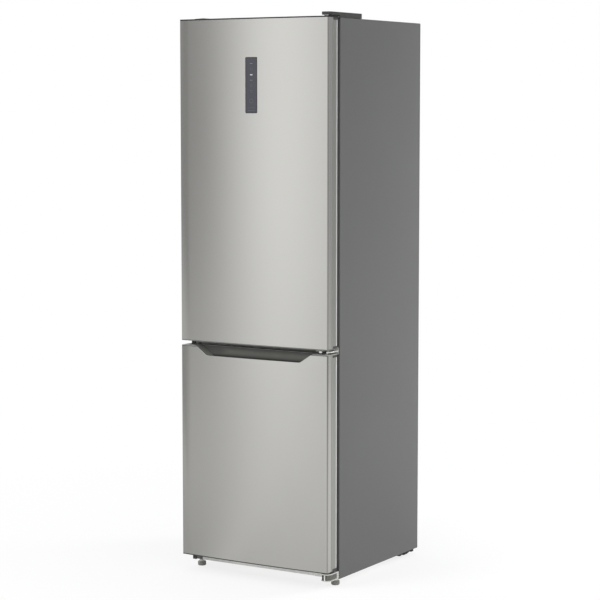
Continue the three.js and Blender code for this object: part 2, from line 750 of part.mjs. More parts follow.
// Levelling foot: a ribbed pad on a threaded stud.
function levellingFoot() {
  const { radius, height } = FOOT;
  const pad = turned([
    [0, 0], [radius - 1.5, 0], [radius, 1.5], [radius, height - 6], [radius - 1.5, height - 4.5],
    [radius - 5, height - 4.5], [radius - 5, height], [0, height],
  ], 16);
  return join(pad, rod('z', 4, 28, 0, 0, height + 8, 12));
}

for (const [name, side] of [['left', -1], ['right', 1]]) {
  const foot = piece(refrigerator, `front_foot_${name}`, levellingFoot(), 'foot_grey');
  foot.position.set(side * FOOT.x, FOOT.y, 0);
}

// ---------- hinges ----------

// Outline of a hinge plate: a nose round the pin that widens to the back.
function hingeNose(radius, left, right, back) {
  const shape = new THREE.Shape();
  shape.moveTo(left, back);
  shape.lineTo(HINGE.x - radius, HINGE.y + 4);
  shape.lineTo(HINGE.x - radius, HINGE.y);
  shape.absarc(HINGE.x, HINGE.y, radius, Math.PI, 2 * Math.PI);
  shape.lineTo(right, back);
  return shape;
}

const PIN_RADIUS = 4;
const PIN_HOLE = PIN_RADIUS + CLEAR;

function topHingeBracket() {
  const z = CABINET_TOP + CLEAR;
  const arm = prism(hingeNose(12, HALF - 40, HALF - 6, -236), 'z', z + 5, z + 8, 6);
  const riser = box(HALF - 40, HALF - 6, -238, -235, z, z + 8);
  const foot = prism(roundedRect(HALF - 58, HALF - 6, -238, -130, 8), 'z', z, z + 3);
  const heads = [-210, -180, -150].map((y, i) => rod('z', 5, 3, HALF - 20 - (i % 2) * 22, y, z + 4, 6));
  return cut(
    join(arm, riser, foot, ...heads),
    rod('z', PIN_HOLE, 40, HINGE.x, HINGE.y, z),
  );
}

// Hollow plastic cover over the top hinge, thin over the door and deeper over the cabinet.
function topHingeCover() {
  const top = 1944.5;
  const wall = 2;
  const overDoor = CABINET_TOP + CLEAR + 7;
  const outline = (g) => {
    const shape = new THREE.Shape();
    shape.moveTo(HALF - 64 + g, -94.5 - g);
    shape.lineTo(HALF - 64 + g, -236);
    shape.lineTo(HINGE.x - 18 + g, -270);
    shape.lineTo(HINGE.x - 18 + g, HINGE.y - 4);
    shape.quadraticCurveTo(HINGE.x - 18 + g, HINGE.y - 18 + g, HINGE.x, HINGE.y - 18 + g);
    shape.quadraticCurveTo(HALF - 1 - g, HINGE.y - 18 + g, HALF - 1 - g, HINGE.y);
    shape.lineTo(HALF - 1 - g, -94.5 - g);
    return shape;
  };
  const body = prism(outline(0), 'z', CABINET_TOP + CLEAR, top);
  const hollow = prism(outline(wall), 'z', CABINET_TOP - 5, top - wall);
  const underNose = box(200, HALF + 5, -340, -243, CABINET_TOP - 5, overDoor);
  return cut(body, hollow, underNose);
}

// Low cover over the unused hinge place on the other side.
function topBlankingCover() {
  const z = CABINET_TOP + CLEAR;
  const body = prism([
    pt(-HALF + 2, z), pt(-HALF + 4, z + 8), pt(-HALF + 36, z + 10), pt(-HALF + 84, z + 6),
    pt(-HALF + 92, z),
  ], 'y', -236, -150);
  const nose = prism([
    pt(-240, z - 5), pt(-240, z + 4), pt(-222, z + 15), pt(-222, z + 20), pt(-245, z + 20),
  ], 'x', -HALF, 0);
  const hollow = box(-HALF + 6, -HALF + 80, -233, -153, z - 5, z + 3.5);
  return cut(body, nose, hollow);
}

function pin(z0, z1, collar0, collar1) {
  return join(
    rod('z', PIN_RADIUS, z1 - z0, HINGE.x, HINGE.y, (z0 + z1) / 2),
    rod('z', PIN_RADIUS + 3, collar1 - collar0, HINGE.x, HINGE.y, (collar0 + collar1) / 2),
  );
}

function middleHingeBracket() {
  const back = FRONT - CLEAR;
  const plate = prism(hingeNose(17, HALF - 48, HALF - 3, back - 1), 'z', MID_GAP - 2, MID_GAP + 2, 6);
  const flange = prism(roundedRect(HALF - 92, HALF - 3, MID_GAP - 13, MID_GAP + 13, 4), 'y', back - 3, back);
  const heads = [HALF - 80, HALF - 58].map((x) => rod('y', 4.5, 2.4, x, back - 4, MID_GAP, 6));
  return cut(
    join(plate, flange, ...heads),
    rod('z', PIN_HOLE, 40, HINGE.x, HINGE.y, MID_GAP),
  );
}

// Pressed bracket, screwed to the front rail: a plate, a wall set back under it and a lip round its foot.
function bottomHingeBracket() {
  const top = FREEZER_DOOR.bottom - 5;
  const foot = top - 26;
  const radius = 19;
  const setback = 2.2;
  const wall = 2.4;
  const back = FRONT - CLEAR;
  const nose = (inset, z0, z1, reach) => prism(hingeNose(
    radius - inset, HALF - 62 + inset, HALF - 1.5 - inset, reach,
  ), 'z', z0, z1, 5);
  const plate = nose(0, top - 3.4, top, back - 1);
  const apron = nose(setback, foot, top, back - 1);
  const lip = nose(0, foot, foot + 2.6, back - 1);
  const hollow = nose(setback + wall, foot - 5, top - 3.2, back + 19);
  const flange = prism(roundedRect(HALF - 96, HALF - 1.5, foot - 2, top, 4), 'y', back - 3, back);
  const heads = [HALF - 84, HALF - 70].map((x) => rod('y', 4.5, 2.4, x, back - 4, top - 12, 6));
  return cut(
    join(cut(join(plate, apron, lip), hollow), flange, ...heads),
    rod('z', PIN_HOLE, 40, HINGE.x, HINGE.y, top),
  );
}

piece(cabinet, 'top_hinge_bracket', topHingeBracket(), 'zinc');
piece(cabinet, 'top_hinge_pin', pin(
  FRIDGE_DOOR.top - 18, CABINET_TOP + 10.4, CABINET_TOP + 8.8, CABINET_TOP + 10.4,
), 'zinc');
piece(cabinet, 'top_hinge_cover', topHingeCover(), 'dark_plastic');
piece(cabinet, 'top_blanking_cover', topBlankingCover(), 'dark_plastic');
piece(cabinet, 'middle_hinge_bracket', middleHingeBracket(), 'zinc');
piece(cabinet, 'middle_hinge_pin', pin(
  MID_GAP - 22, MID_GAP + 22, MID_GAP + 2.4, MID_GAP + 4.4,
), 'zinc');
piece(cabinet, 'bottom_hinge_bracket', bottomHingeBracket(), 'zinc');
piece(cabinet, 'bottom_hinge_pin', pin(36, 74, 51.4, 53.6), 'zinc');

// ---------- doors ----------

const fridgeDoor = new THREE.Group();
fridgeDoor.position.z = FRIDGE_DOOR.bottom;
const freezerDoor = new THREE.Group();
freezerDoor.position.z = FREEZER_DOOR.bottom;
refrigerator.add(fridgeDoor, freezerDoor);

// Front line of a door in plan, from its left side to its right side, `inset` inside the outer face.
function bowedLine(inset, sideBack) {
  const half = HALF - inset;
  const r = Math.max(DOOR_CORNER - inset, 1);
  const front = (x) => DOOR_EDGE + inset - BOW * (1 - (x / HALF) ** 2);
  const corner = (side) => {
    const from = pt(side * half, DOOR_EDGE + inset + r);
    const to = pt(side * (half - r), front(half - r));
    const knee = pt(side * half, front(half));
    return new THREE.QuadraticBezierCurve(from, knee, to).getPoints(3);
  };
  const crown = [];
  const steps = 16;
  for (let i = 1; i < steps; i += 1) {
    const x = (half - r) * ((2 * i) / steps - 1);
    crown.push(pt(x, front(x)));
  }
  return [
    pt(-half, sideBack),
    ...corner(-1),
    ...crown,
    ...corner(1).reverse(),
    pt(half, sideBack),
  ];
}

// Steel skin: the bowed front and two side returns, each with a hem turned inward.
function doorSkin(z0, z1) {
  const hem = 6;
  const outer = bowedLine(0, SKIN_BACK);
  const inner = bowedLine(SKIN, SKIN_BACK - SKIN).reverse();
  return prism([
    pt(-HALF + hem, SKIN_BACK),
    ...outer,
    pt(HALF - hem, SKIN_BACK),
    pt(HALF - hem, SKIN_BACK - SKIN),
    ...inner,
    pt(-HALF + hem, SKIN_BACK - SKIN),
  ], 'z', z0, z1);
}

// Plastic side profile behind the skin, rounded to the back.
function doorTrim(side, z0, z1) {
  const front = SKIN_BACK + CLEAR;
  const wall = 2.5;
  const turn = new THREE.Shape();
  const at = (inset, y) => [side * (HALF - inset), y];
  turn.moveTo(...at(1, front));
  turn.lineTo(...at(1, front + 2));
  turn.lineTo(...at(0, front + 3));
  turn.lineTo(...at(0, DOOR_BACK - 4.5));
  turn.quadraticCurveTo(...at(0, DOOR_BACK), ...at(4.5, DOOR_BACK));
  turn.lineTo(...at(13, DOOR_BACK));
  turn.lineTo(...at(13, DOOR_BACK - wall));
  turn.lineTo(...at(wall + 2, DOOR_BACK - wall));
  turn.lineTo(...at(wall + 1, DOOR_BACK - wall - 2));
  turn.lineTo(...at(wall + 1, front));
  return prism(turn, 'z', z0, z1, 5);
}

// End cap: a plate over the end of the door, a skirt inside it and a bush for the hinge pin.
function endCap(plate0, plate1, skirt0, skirt1, bush0, bush1) {
  const plan = (inset) => {
    const line = bowedLine(inset, DOOR_BACK - inset);
    return prism(line, 'z', Math.min(skirt0, plate0), Math.max(skirt1, plate1));
  };
  const plate = common(plan(0), box(-HALF - 5, HALF + 5, -400, 0, plate0, plate1));
  const skirt = common(cut(plan(7.2), plan(9.6)), box(-HALF - 5, HALF + 5, -400, 0, skirt0, skirt1));
  const bush = rod('z', 9, bush1 - bush0, HINGE.x, HINGE.y, (bush0 + bush1) / 2);
  const bore = rod('z', PIN_HOLE, 200, HINGE.x, HINGE.y, bush0);
  return cut(join(plate, skirt, bush), bore);
}

// Foam core between skin, side profiles, caps and liner.
function doorCore(z0, z1, height) {
  const back = DOOR_BACK - 3.2;
  const shoulder = SKIN_BACK - SKIN - CLEAR;
  const body = prism([
    pt(-HALF + 6.6, back),
    pt(-HALF + 6.6, shoulder),
    ...bowedLine(SKIN + CLEAR, shoulder),
    pt(HALF - 6.6, shoulder),
    pt(HALF - 6.6, back),
  ], 'z', z0, z1);
  return cut(
    body,
    rod('z', 10, 56, HINGE.x, HINGE.y, 0),
    rod('z', 10, 56, HINGE.x, HINGE.y, height),
  );
}

// Thermoformed inner panel: a flat rim, and a hollow ridge that reaches into the cabinet.
function doorLiner(z0, z1, ridge) {
  const half = HALF - 13.4;
  const plate = box(-half, half, DOOR_BACK - 2.6, DOOR_BACK - 0.4, z0, z1);
  const { inset, depth, width } = ridge;
  const tip = DOOR_BACK + depth;
  const section = (g) => [
    [g, DOOR_BACK - 1 - g * 2],
    [5 + g, tip - 5 - g],
    [9 + g / 2, tip - g],
    [width - 5 - g / 2, tip - g],
    [width - g, tip - 5 - g],
    [width - g, DOOR_BACK - 1 - g * 2],
  ];
  const ring = (g) => mitredFrame(section(g), -inset, inset, ridge.z0, ridge.z1);
  return cut(join(plate, ring(0)), ring(LINER));
}

// Magnetic seal: a foot on the liner, bellows, and a flat face towards the cabinet.
function doorGasket(z0, z1) {
  const face = FRONT - 0.8;
  const base = DOOR_BACK;
  return mitredFrame([
    [2, base], [2, base + 4], [0, base + 6.5], [0, face - 2.5], [1.6, face],
    [16.4, face], [18, face - 2.5], [18, base + 8], [13, base + 6], [13, base],
  ], -HALF + 13.5, HALF - 13.5, z0, z1);
}

// Block under the door's end where the hinge would sit for the other hand.
function handPlug(z0, z1) {
  const { x0, x1, y0, y1 } = HAND_PLUG;
  return prism(roundedRect(x0, x1, y0, y1, 2.5), 'z', z0, z1);
}

// -- refrigerator door --

function fridgeSkin() {
  const { width, height, bottom, corner } = DISPLAY;
  const margin = 0.5;
  const window = roundedRect(
    -width / 2 - margin, width / 2 + margin, bottom - margin, bottom + height + margin, corner + margin,
  );
  return cut(
    doorSkin(CAP_PLATE.bottom + CLEAR, FRIDGE_HEIGHT - CAP_PLATE.top - CLEAR),
    prism(window, 'y', CROWN - 5, CROWN + 12),
  );
}

function fridgeCore() {
  const { width, height, bottom } = DISPLAY;
  return cut(
    doorCore(14, FRIDGE_HEIGHT - 14, FRIDGE_HEIGHT),
    box(-width / 2 - 3, width / 2 + 3, CROWN - 5, CROWN + 13, bottom - 3, bottom + height + 3),
  );
}

function displayPanel() {
  const { width, height, bottom, corner } = DISPLAY;
  const glass = roundedRect(-width / 2, width / 2, bottom, bottom + height, corner);
  const tray = roundedRect(-width / 2 - 2, width / 2 + 2, bottom - 2, bottom + height + 2, corner);
  return join(
    prism(glass, 'y', CROWN + 0.1, CROWN + 6),
    prism(tray, 'y', CROWN + 1.6, CROWN + 12),
  );
}

// Lugs on the ridges that carry the ends of the door bins.
function binLugs(reach) {
  return BINS.flatMap(({ z, height }) => [-1, 1].map((side) => {
    const x = side * (reach + 2.6);
    return box(x - 3, x + 3, DOOR_BACK + 8, DOOR_BACK + 34, z + height - 22, z + height - 8 - CLEAR);
  }));
}

const FRIDGE_RIDGE = { inset: 243, depth: 45, width: 24, z0: 48, z1: 1050 };
const BIN_HALF = FRIDGE_RIDGE.inset - FRIDGE_RIDGE.width - CLEAR;

// Bin on the door: a tray with a high back, a lower bowed front and end rims that sit on the lugs.
function doorBin({ height, depth }) {
  const y0 = DOOR_BACK + CLEAR;
  const y1 = y0 + depth;
  const half = BIN_HALF - 4;
  const plan = (g) => {
    const shape = new THREE.Shape();
    shape.moveTo(-half + g, y0 + g);
    shape.lineTo(half - g, y0 + g);
    shape.lineTo(half - g, y1 - 14);
    shape.quadraticCurveTo(half - g, y1 - g, half - 16, y1 - g);
    shape.lineTo(-half + 16, y1 - g);
    shape.quadraticCurveTo(-half + g, y1 - g, -half + g, y1 - 14);
    return shape;
  };
  const body = cut(prism(plan(0), 'z', 0, height), prism(plan(2.4), 'z', 2.4, height + 5));
  const rims = [-1, 1].map((side) => {
    const x = side * (BIN_HALF - 3);
    return box(x - 3, x + 3, y0 + 2, y0 + depth - 20, height - 8, height - 4);
  });
  const dip = prism([
    pt(y0 + 30, height + 5), pt(y0 + 46, height - 18), pt(y1 + 5, height - 18), pt(y1 + 5, height + 5),
  ], 'x', -half - 6, half + 6);
  const bead = prism(
    roundedRect(-half + 18, half - 18, height - 22, height - 16, 2.5), 'y', y1 - 3, y1 + 1.5,
  );
  return join(cut(join(body, ...rims), dip), bead);
}

piece(fridgeDoor, 'fridge_door_skin', fridgeSkin(), 'inox');
for (const [name, side] of [['left', -1], ['right', 1]]) {
  piece(fridgeDoor, `fridge_door_trim_${name}`, doorTrim(
    side, CAP_PLATE.bottom + CLEAR, FRIDGE_HEIGHT - CAP_PLATE.top - CLEAR,
  ), 'grey_trim');
}
piece(fridgeDoor, 'fridge_door_top_cap', endCap(
  FRIDGE_HEIGHT - CAP_PLATE.top, FRIDGE_HEIGHT, FRIDGE_HEIGHT - 12, FRIDGE_HEIGHT - 2,
  FRIDGE_HEIGHT - 24, FRIDGE_HEIGHT - 1,
), 'dark_plastic');
piece(fridgeDoor, 'fridge_door_bottom_cap', join(
  endCap(0, CAP_PLATE.bottom, 1, 12, 1, 24),
  handPlug(-13.5, 1),
), 'dark_plastic');
piece(fridgeDoor, 'fridge_door_core', fridgeCore(), 'foam');
piece(fridgeDoor, 'fridge_door_liner', join(
  doorLiner(10, FRIDGE_HEIGHT - 10, FRIDGE_RIDGE), ...binLugs(BIN_HALF),
), 'white_plastic');
piece(fridgeDoor, 'fridge_door_gasket', doorGasket(13, FRIDGE_HEIGHT - 13), 'gasket');
piece(fridgeDoor, 'display_panel', displayPanel(), 'display');
for (const bin of BINS) {
  piece(fridgeDoor, `door_bin_${bin.name}`, doorBin(bin), 'clear_plastic').position.z = bin.z;
}

// -- freezer door, with the handle scooped into its top --

const NOTCH_FLOOR = FREEZER_HEIGHT - NOTCH.depth;
const NOTCH_SLOPE = (NOTCH.halfTop - NOTCH.halfBottom) / NOTCH.depth;

// The trapezoid of the handle seen from the front, grown by g and carried down by `below`.
function gripTrapezoid(g, below) {
  const z0 = NOTCH_FLOOR - below - g;
  const z1 = FREEZER_HEIGHT + 12;
  const half = (z) => NOTCH.halfBottom + (z - NOTCH_FLOOR) * NOTCH_SLOPE + g;
  const r = 5;
  const shape = new THREE.Shape();
  shape.moveTo(-half(z1), z1);
  shape.lineTo(-half(z0 + r), z0 + r);
  shape.quadraticCurveTo(-half(z0), z0, -half(z0) + r * 1.6, z0);
  shape.lineTo(half(z0) - r * 1.6, z0);
  shape.quadraticCurveTo(half(z0), z0, half(z0 + r), z0 + r);
  shape.lineTo(half(z1), z1);
  return prism(shape, 'y', CROWN - 20, DOOR_BACK + 5);
}

// The grip's section: open to the front above the steel's edge, a finger pocket behind that edge and a
// hollow back wall that rises to the top.
function gripSection() {
  const lip = CROWN + GRIP.lipBack;
  const back = CROWN + GRIP.back;
  const floor = NOTCH_FLOOR - GRIP.pocket;
  const shape = new THREE.Shape();
  shape.moveTo(CROWN - 15, FREEZER_HEIGHT + 10);
  shape.lineTo(CROWN - 15, NOTCH_FLOOR);
  shape.lineTo(lip - 3, NOTCH_FLOOR);
  shape.quadraticCurveTo(lip, NOTCH_FLOOR, lip, NOTCH_FLOOR - 3);
  shape.lineTo(lip + 1, floor + 10);
  shape.quadraticCurveTo(lip + 2, floor, lip + 12, floor);
  shape.quadraticCurveTo(back - 4, floor, back, floor + 24);
  shape.quadraticCurveTo(back + 2, FREEZER_HEIGHT - 14, back + 7, FREEZER_HEIGHT + 10);
  return prism(shape, 'x', -GRIP.block - 5, GRIP.block + 5, 6);
}

function gripCap() {
  const top = FREEZER_HEIGHT;
  const floor = NOTCH_FLOOR - GRIP.pocket - 4;
  const cap = endCap(top - CAP_PLATE.grip, top, top - 12, top - 1.5, top - 24, top - 1);
  const block = common(
    prism(bowedLine(SKIN + CLEAR, DOOR_BACK - 4), 'z', floor, top),
    box(-GRIP.block, GRIP.block, CROWN - 5, CROWN + GRIP.back + 12, floor, top),
  );
  const hollow = common(gripSection(), gripTrapezoid(0.6, GRIP.pocket));
  return cut(join(cap, block), hollow);
}

function freezerCore() {
  const floor = NOTCH_FLOOR - GRIP.pocket - 4 - CLEAR;
  return cut(
    doorCore(14, FREEZER_HEIGHT - 14, FREEZER_HEIGHT),
    box(
      -GRIP.block - 1, GRIP.block + 1, CROWN - 5, CROWN + GRIP.back + 13, floor, FREEZER_HEIGHT,
    ),
  );
}

piece(freezerDoor, 'freezer_door_skin', cut(
  doorSkin(CAP_PLATE.bottom + CLEAR, FREEZER_HEIGHT - CAP_PLATE.grip - CLEAR),
  common(gripTrapezoid(0, 0), box(-HALF, HALF, CROWN - 10, SKIN_BACK - 4, 0, FREEZER_HEIGHT + 10)),
), 'inox');
for (const [name, side] of [['left', -1], ['right', 1]]) {
  piece(freezerDoor, `freezer_door_trim_${name}`, doorTrim(
    side, CAP_PLATE.bottom + CLEAR, FREEZER_HEIGHT - CAP_PLATE.grip - CLEAR,
  ), 'grey_trim');
}
piece(freezerDoor, 'freezer_door_grip_cap', gripCap(), 'dark_plastic');
piece(freezerDoor, 'freezer_door_bottom_cap', join(
  endCap(0, CAP_PLATE.bottom, 1, 12, 1, 24),
  handPlug(-17, 1),
), 'dark_plastic');
piece(freezerDoor, 'freezer_door_core', freezerCore(), 'foam');
piece(freezerDoor, 'freezer_door_liner', doorLiner(
  10, FREEZER_HEIGHT - 10, { inset: 228, depth: 14, width: 40, z0: 42, z1: 714 },
), 'white_plastic');
piece(freezerDoor, 'freezer_door_gasket', doorGasket(13, FREEZER_HEIGHT - 13), 'gasket');

export default refrigerator;
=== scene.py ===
# Refrigerator with a bottom freezer: finishes, small fittings, studio and camera.
# Metres, in the part's own frame: +X right, +Y back, +Z up, doors face -Y.

import json
import math

import bmesh
import bpy
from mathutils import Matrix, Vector


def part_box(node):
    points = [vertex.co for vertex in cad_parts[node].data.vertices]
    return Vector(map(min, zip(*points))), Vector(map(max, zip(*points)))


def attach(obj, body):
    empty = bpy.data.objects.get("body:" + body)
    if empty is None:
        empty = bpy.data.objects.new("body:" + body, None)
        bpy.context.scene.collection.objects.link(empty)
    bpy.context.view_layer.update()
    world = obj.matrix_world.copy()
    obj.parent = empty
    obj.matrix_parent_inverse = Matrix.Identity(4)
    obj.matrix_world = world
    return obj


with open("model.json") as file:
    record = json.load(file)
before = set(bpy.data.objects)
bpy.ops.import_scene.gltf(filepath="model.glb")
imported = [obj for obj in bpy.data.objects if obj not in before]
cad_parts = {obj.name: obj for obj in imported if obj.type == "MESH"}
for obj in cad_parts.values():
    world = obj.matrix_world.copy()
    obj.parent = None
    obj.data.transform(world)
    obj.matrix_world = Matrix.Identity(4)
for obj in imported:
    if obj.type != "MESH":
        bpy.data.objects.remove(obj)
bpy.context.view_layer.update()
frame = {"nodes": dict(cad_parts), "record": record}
nodes = frame["nodes"]

MM = 0.001

# ---------- sizes that the finishes and small fittings share with the solids ----------

HALF_WIDTH = 297.5 * MM
CROWN = -327 * MM                # front of the doors at the middle
BOW = 8 * MM                     # how far the middle stands in front of the edges
FREEZER_DOOR_TOP = 802 * MM
NOTCH_HALF_TOP = 236.5 * MM      # the handle's cut-out in the steel
NOTCH_HALF_BOTTOM = 189 * MM
NOTCH_DEPTH = 31.7 * MM
STEEL_TOP_GAP = 3.4 * MM         # from the freezer door's top down to its steel's edge
MID_GAP = 810 * MM               # height of the middle hinge's plate, between the doors
HINGE = (277 * MM, -289 * MM)    # plan position of the door axis
LOWER_PLATE_TOP = 51 * MM        # the lower hinge: top of its plate and underside of its foot
LOWER_FOOT = 25 * MM
KNOB_TOP = 16 * MM               # a levelling foot's knob ends here and its stud goes on
SHELF_TRIM_BACK = -122 * MM      # a glass shelf's moulded front trim ends here
SHELF_UPSTAND = 236 * MM         # and its rear upstand starts here


def door_front(x):
    """Y of the bowed steel at x."""
    return CROWN + BOW * (x / HALF_WIDTH) ** 2


# ---------- node trees ----------

def feed(tree, socket, value):
    """Links a socket to another one, or sets its value."""
    if isinstance(value, bpy.types.NodeSocket):
        tree.links.new(value, socket)
    else:
        socket.default_value = value


def add_node(tree, kind, inputs=None, **settings):
    """Adds a node with its settings, and feeds its inputs by name or number."""
    made = tree.nodes.new(kind)
    for key, value in settings.items():
        setattr(made, key, value)
    for key, value in (inputs or {}).items():
        feed(tree, made.inputs[key], value)
    return made


def map_range(tree, value, low, high, start=0.0, end=1.0):
    """value from low to high becomes start to end, and stays there beyond."""
    return add_node(tree, "ShaderNodeMapRange", {
        "Value": value, "From Min": low, "From Max": high, "To Min": start, "To Max": end,
    }).outputs[0]


def blend_colors(tree, share, a, b):
    """Colour a where the share is 0 and b where it is 1."""
    made = add_node(tree, "ShaderNodeMix", {"Factor": share, 6: a, 7: b}, data_type="RGBA")
    return made.outputs[2]


# ---------- finishes ----------

NOISE_LOW, NOISE_HIGH = 0.3, 0.7  # most of a noise lies between these


def srgb(red, green, blue):
    """An 8-bit screen colour as a linear colour with alpha."""
    def linear(level):
        share = level / 255
        return share / 12.92 if share <= 0.04045 else ((share + 0.055) / 1.055) ** 2.4
    return (linear(red), linear(green), linear(blue), 1.0)


class Finish:
    """A procedural material with patterns laid out in metres in the part's frame."""

    def __init__(self, name, color, **sockets):
        self.material = bpy.data.materials.new(name)
        self.material.use_nodes = True
        self.tree = self.material.node_tree
        self.bsdf = self.tree.nodes["Principled BSDF"]
        self.color = color
        self.place = self.node("ShaderNodeTexCoord").outputs["Object"]
        self.set(Base_Color=color, **sockets)

    def node(self, kind, inputs=None, **settings):
        return add_node(self.tree, kind, inputs, **settings)

    def set(self, **sockets):
        """Feeds the shader's sockets, with _ for the space in a name."""
        for key, value in sockets.items():
            feed(self.tree, self.bsdf.inputs[key.replace("_", " ")], value)

    def noise(self, scale, stretch=(1, 1, 1), detail=2.0, roughness=0.5):
        """A noise of about 1 / scale metres, stretched along the axes whose factor is small."""
        where = self.node("ShaderNodeMapping", {"Vector": self.place, "Scale": stretch})
        texture = self.node("ShaderNodeTexNoise", {
            "Vector": where.outputs[0], "Scale": scale, "Detail": detail, "Roughness": roughness,
        })
        return texture.outputs["Fac"]

    def cells(self, scale):
        """Cells of about 1 / scale metres."""
        return self.node("ShaderNodeTexVoronoi", {"Vector": self.place, "Scale": scale})

    def remap(self, value, low, high, start=0.0, end=1.0):
        return map_range(self.tree, value, low, high, start, end)

    def swing(self, pattern, start=0.0, end=1.0):
        """start to end over the range where most of a noise lies."""
        return self.remap(pattern, NOISE_LOW, NOISE_HIGH, start, end)

    def past(self, value, edge, blur):
        """1 where the value is past an edge and 0 before it, blurred on both sides."""
        return self.remap(value, edge - blur, edge + blur)

    def before(self, value, edge, blur):
        """1 where the value is before an edge and 0 past it, blurred on both sides."""
        return self.remap(value, edge - blur, edge + blur, 1.0, 0.0)

    def math(self, operation, a, b):
        return self.node("ShaderNodeMath", {0: a, 1: b}, operation=operation).outputs[0]

    def both(self, a, b):
        """1 where both of two masks are."""
        return self.math("MULTIPLY", a, b)

    def either(self, a, b):
        """The larger of two masks."""
        return self.math("MAXIMUM", a, b)

    def axis(self, name):
        """The place's X, Y or Z."""
        return self.node("ShaderNodeSeparateXYZ", {0: self.place}).outputs[name]

    def blend(self, share, a, b):
        return blend_colors(self.tree, share, a, b)

    def shades(self, pattern, spread, color=None):
        """The base colour, darker and lighter by spread where the pattern is low and high."""
        base = color or self.color
        dark = tuple(c * (1 - spread) for c in base[:3]) + (1.0,)
        light = tuple(min(c * (1 + spread), 1) for c in base[:3]) + (1.0,)
        return self.blend(self.swing(pattern), dark, light)

    def roughness(self, pattern, low, high):
        """Roughness from low to high where the pattern is low and high."""
        self.set(Roughness=self.swing(pattern, low, high))

    def relief(self, height, depth, strength=1.0):
        """Bumps that follow a pattern, depth metres high at most."""
        bump = self.node("ShaderNodeBump", {
            "Height": height, "Distance": depth, "Strength": strength,
        })
        self.set(Normal=bump.outputs[0])

    def moulded_grain(self, low, high):
        """Fine spark-eroded grain, with roughness from low to high."""
        texture = self.noise(1500, detail=2)
        self.roughness(texture, low, high)
        self.relief(texture, 0.05 * MM, 0.6)


def satin_stainless():
    """Door steel: fine level brushing, faint clouding and a painted dark reflection down the
    hinge-side edge.
    """
    f = Finish("satin_stainless", srgb(212, 211, 207), Metallic=1.0, Anisotropic=0.7)
    f.set(Anisotropic_Rotation=0.25)
    grain = f.noise(1.0, (14, 14, 5200), detail=3, roughness=0.6)
    cloud = f.noise(3.2, (1, 1, 0.6), detail=2)
    mixed = f.math("ADD", f.math("MULTIPLY", grain, 0.65), f.math("MULTIPLY", cloud, 0.35))
    height = f.axis("Z")
    # Painted dark reflection on the last 4 mm of the front at the hinge side, stronger upwards and
    # weaker on the upper door.
    last_of_width = f.past(f.axis("X"), HALF_WIDTH - 4 * MM, 0.4 * MM)
    first_of_depth = f.before(f.axis("Y"), CROWN + BOW + 3.5 * MM, 0.5 * MM)
    darker_upwards = f.remap(height, 0.15, 0.78, 0.25, 0.6)
    lighter_on_upper_door = f.remap(height, MID_GAP - 5 * MM, MID_GAP + 5 * MM, 1.0, 0.65)
    corner = f.both(last_of_width, first_of_depth)
    shade = f.math("MULTIPLY", darker_upwards, lighter_on_upper_door)
    painted_fold_reflection = f.math("MULTIPLY", corner, shade)
    f.set(Base_Color=f.blend(painted_fold_reflection, f.shades(mixed, 0.035), srgb(40, 40, 40)))
    f.roughness(mixed, 0.21, 0.27)
    f.relief(grain, 0.004 * MM, 0.4)
    return f.material


def coated_sheet():
    """Cabinet side: grey stove enamel with a fine orange peel."""
    f = Finish("coated_sheet", srgb(97, 97, 97))
    f.set(Coat_Weight=0.15, Coat_Roughness=0.3)
    peel = f.noise(700, detail=2)
    cloud = f.noise(2.5, detail=3)
    f.set(Base_Color=f.shades(cloud, 0.03))
    f.roughness(peel, 0.42, 0.52)
    f.relief(peel, 0.03 * MM, 0.6)
    return f.material


def galvanised_sheet(name, color):
    """Zinc spangle: flat crystals of slightly different tone and gloss."""
    f = Finish(name, color, Metallic=0.9)
    spangle = f.cells(95).outputs["Color"]
    tone = f.node("ShaderNodeSeparateColor", {0: spangle}).outputs[0]
    cloud = f.noise(6, detail=3)
    mixed = f.math("ADD", f.math("MULTIPLY", tone, 0.5), f.math("MULTIPLY", cloud, 0.5))
    f.set(Base_Color=f.shades(mixed, 0.07))
    f.set(Roughness=f.remap(tone, 0, 1, 0.34, 0.46))
    f.relief(f.noise(900), 0.01 * MM, 0.4)
    return f.material


def zinc_plate():
    """Pressed hinge steel, bright zinc with a warm cast and fine pitting."""
    f = Finish("zinc_plate", srgb(244, 244, 240), Metallic=0.6)
    cloud = f.noise(55, detail=4, roughness=0.6)
    f.set(Base_Color=f.shades(cloud, 0.06))
    f.roughness(cloud, 0.22, 0.36)
    f.relief(f.noise(1400, detail=3), 0.02 * MM, 0.5)
    return f.material


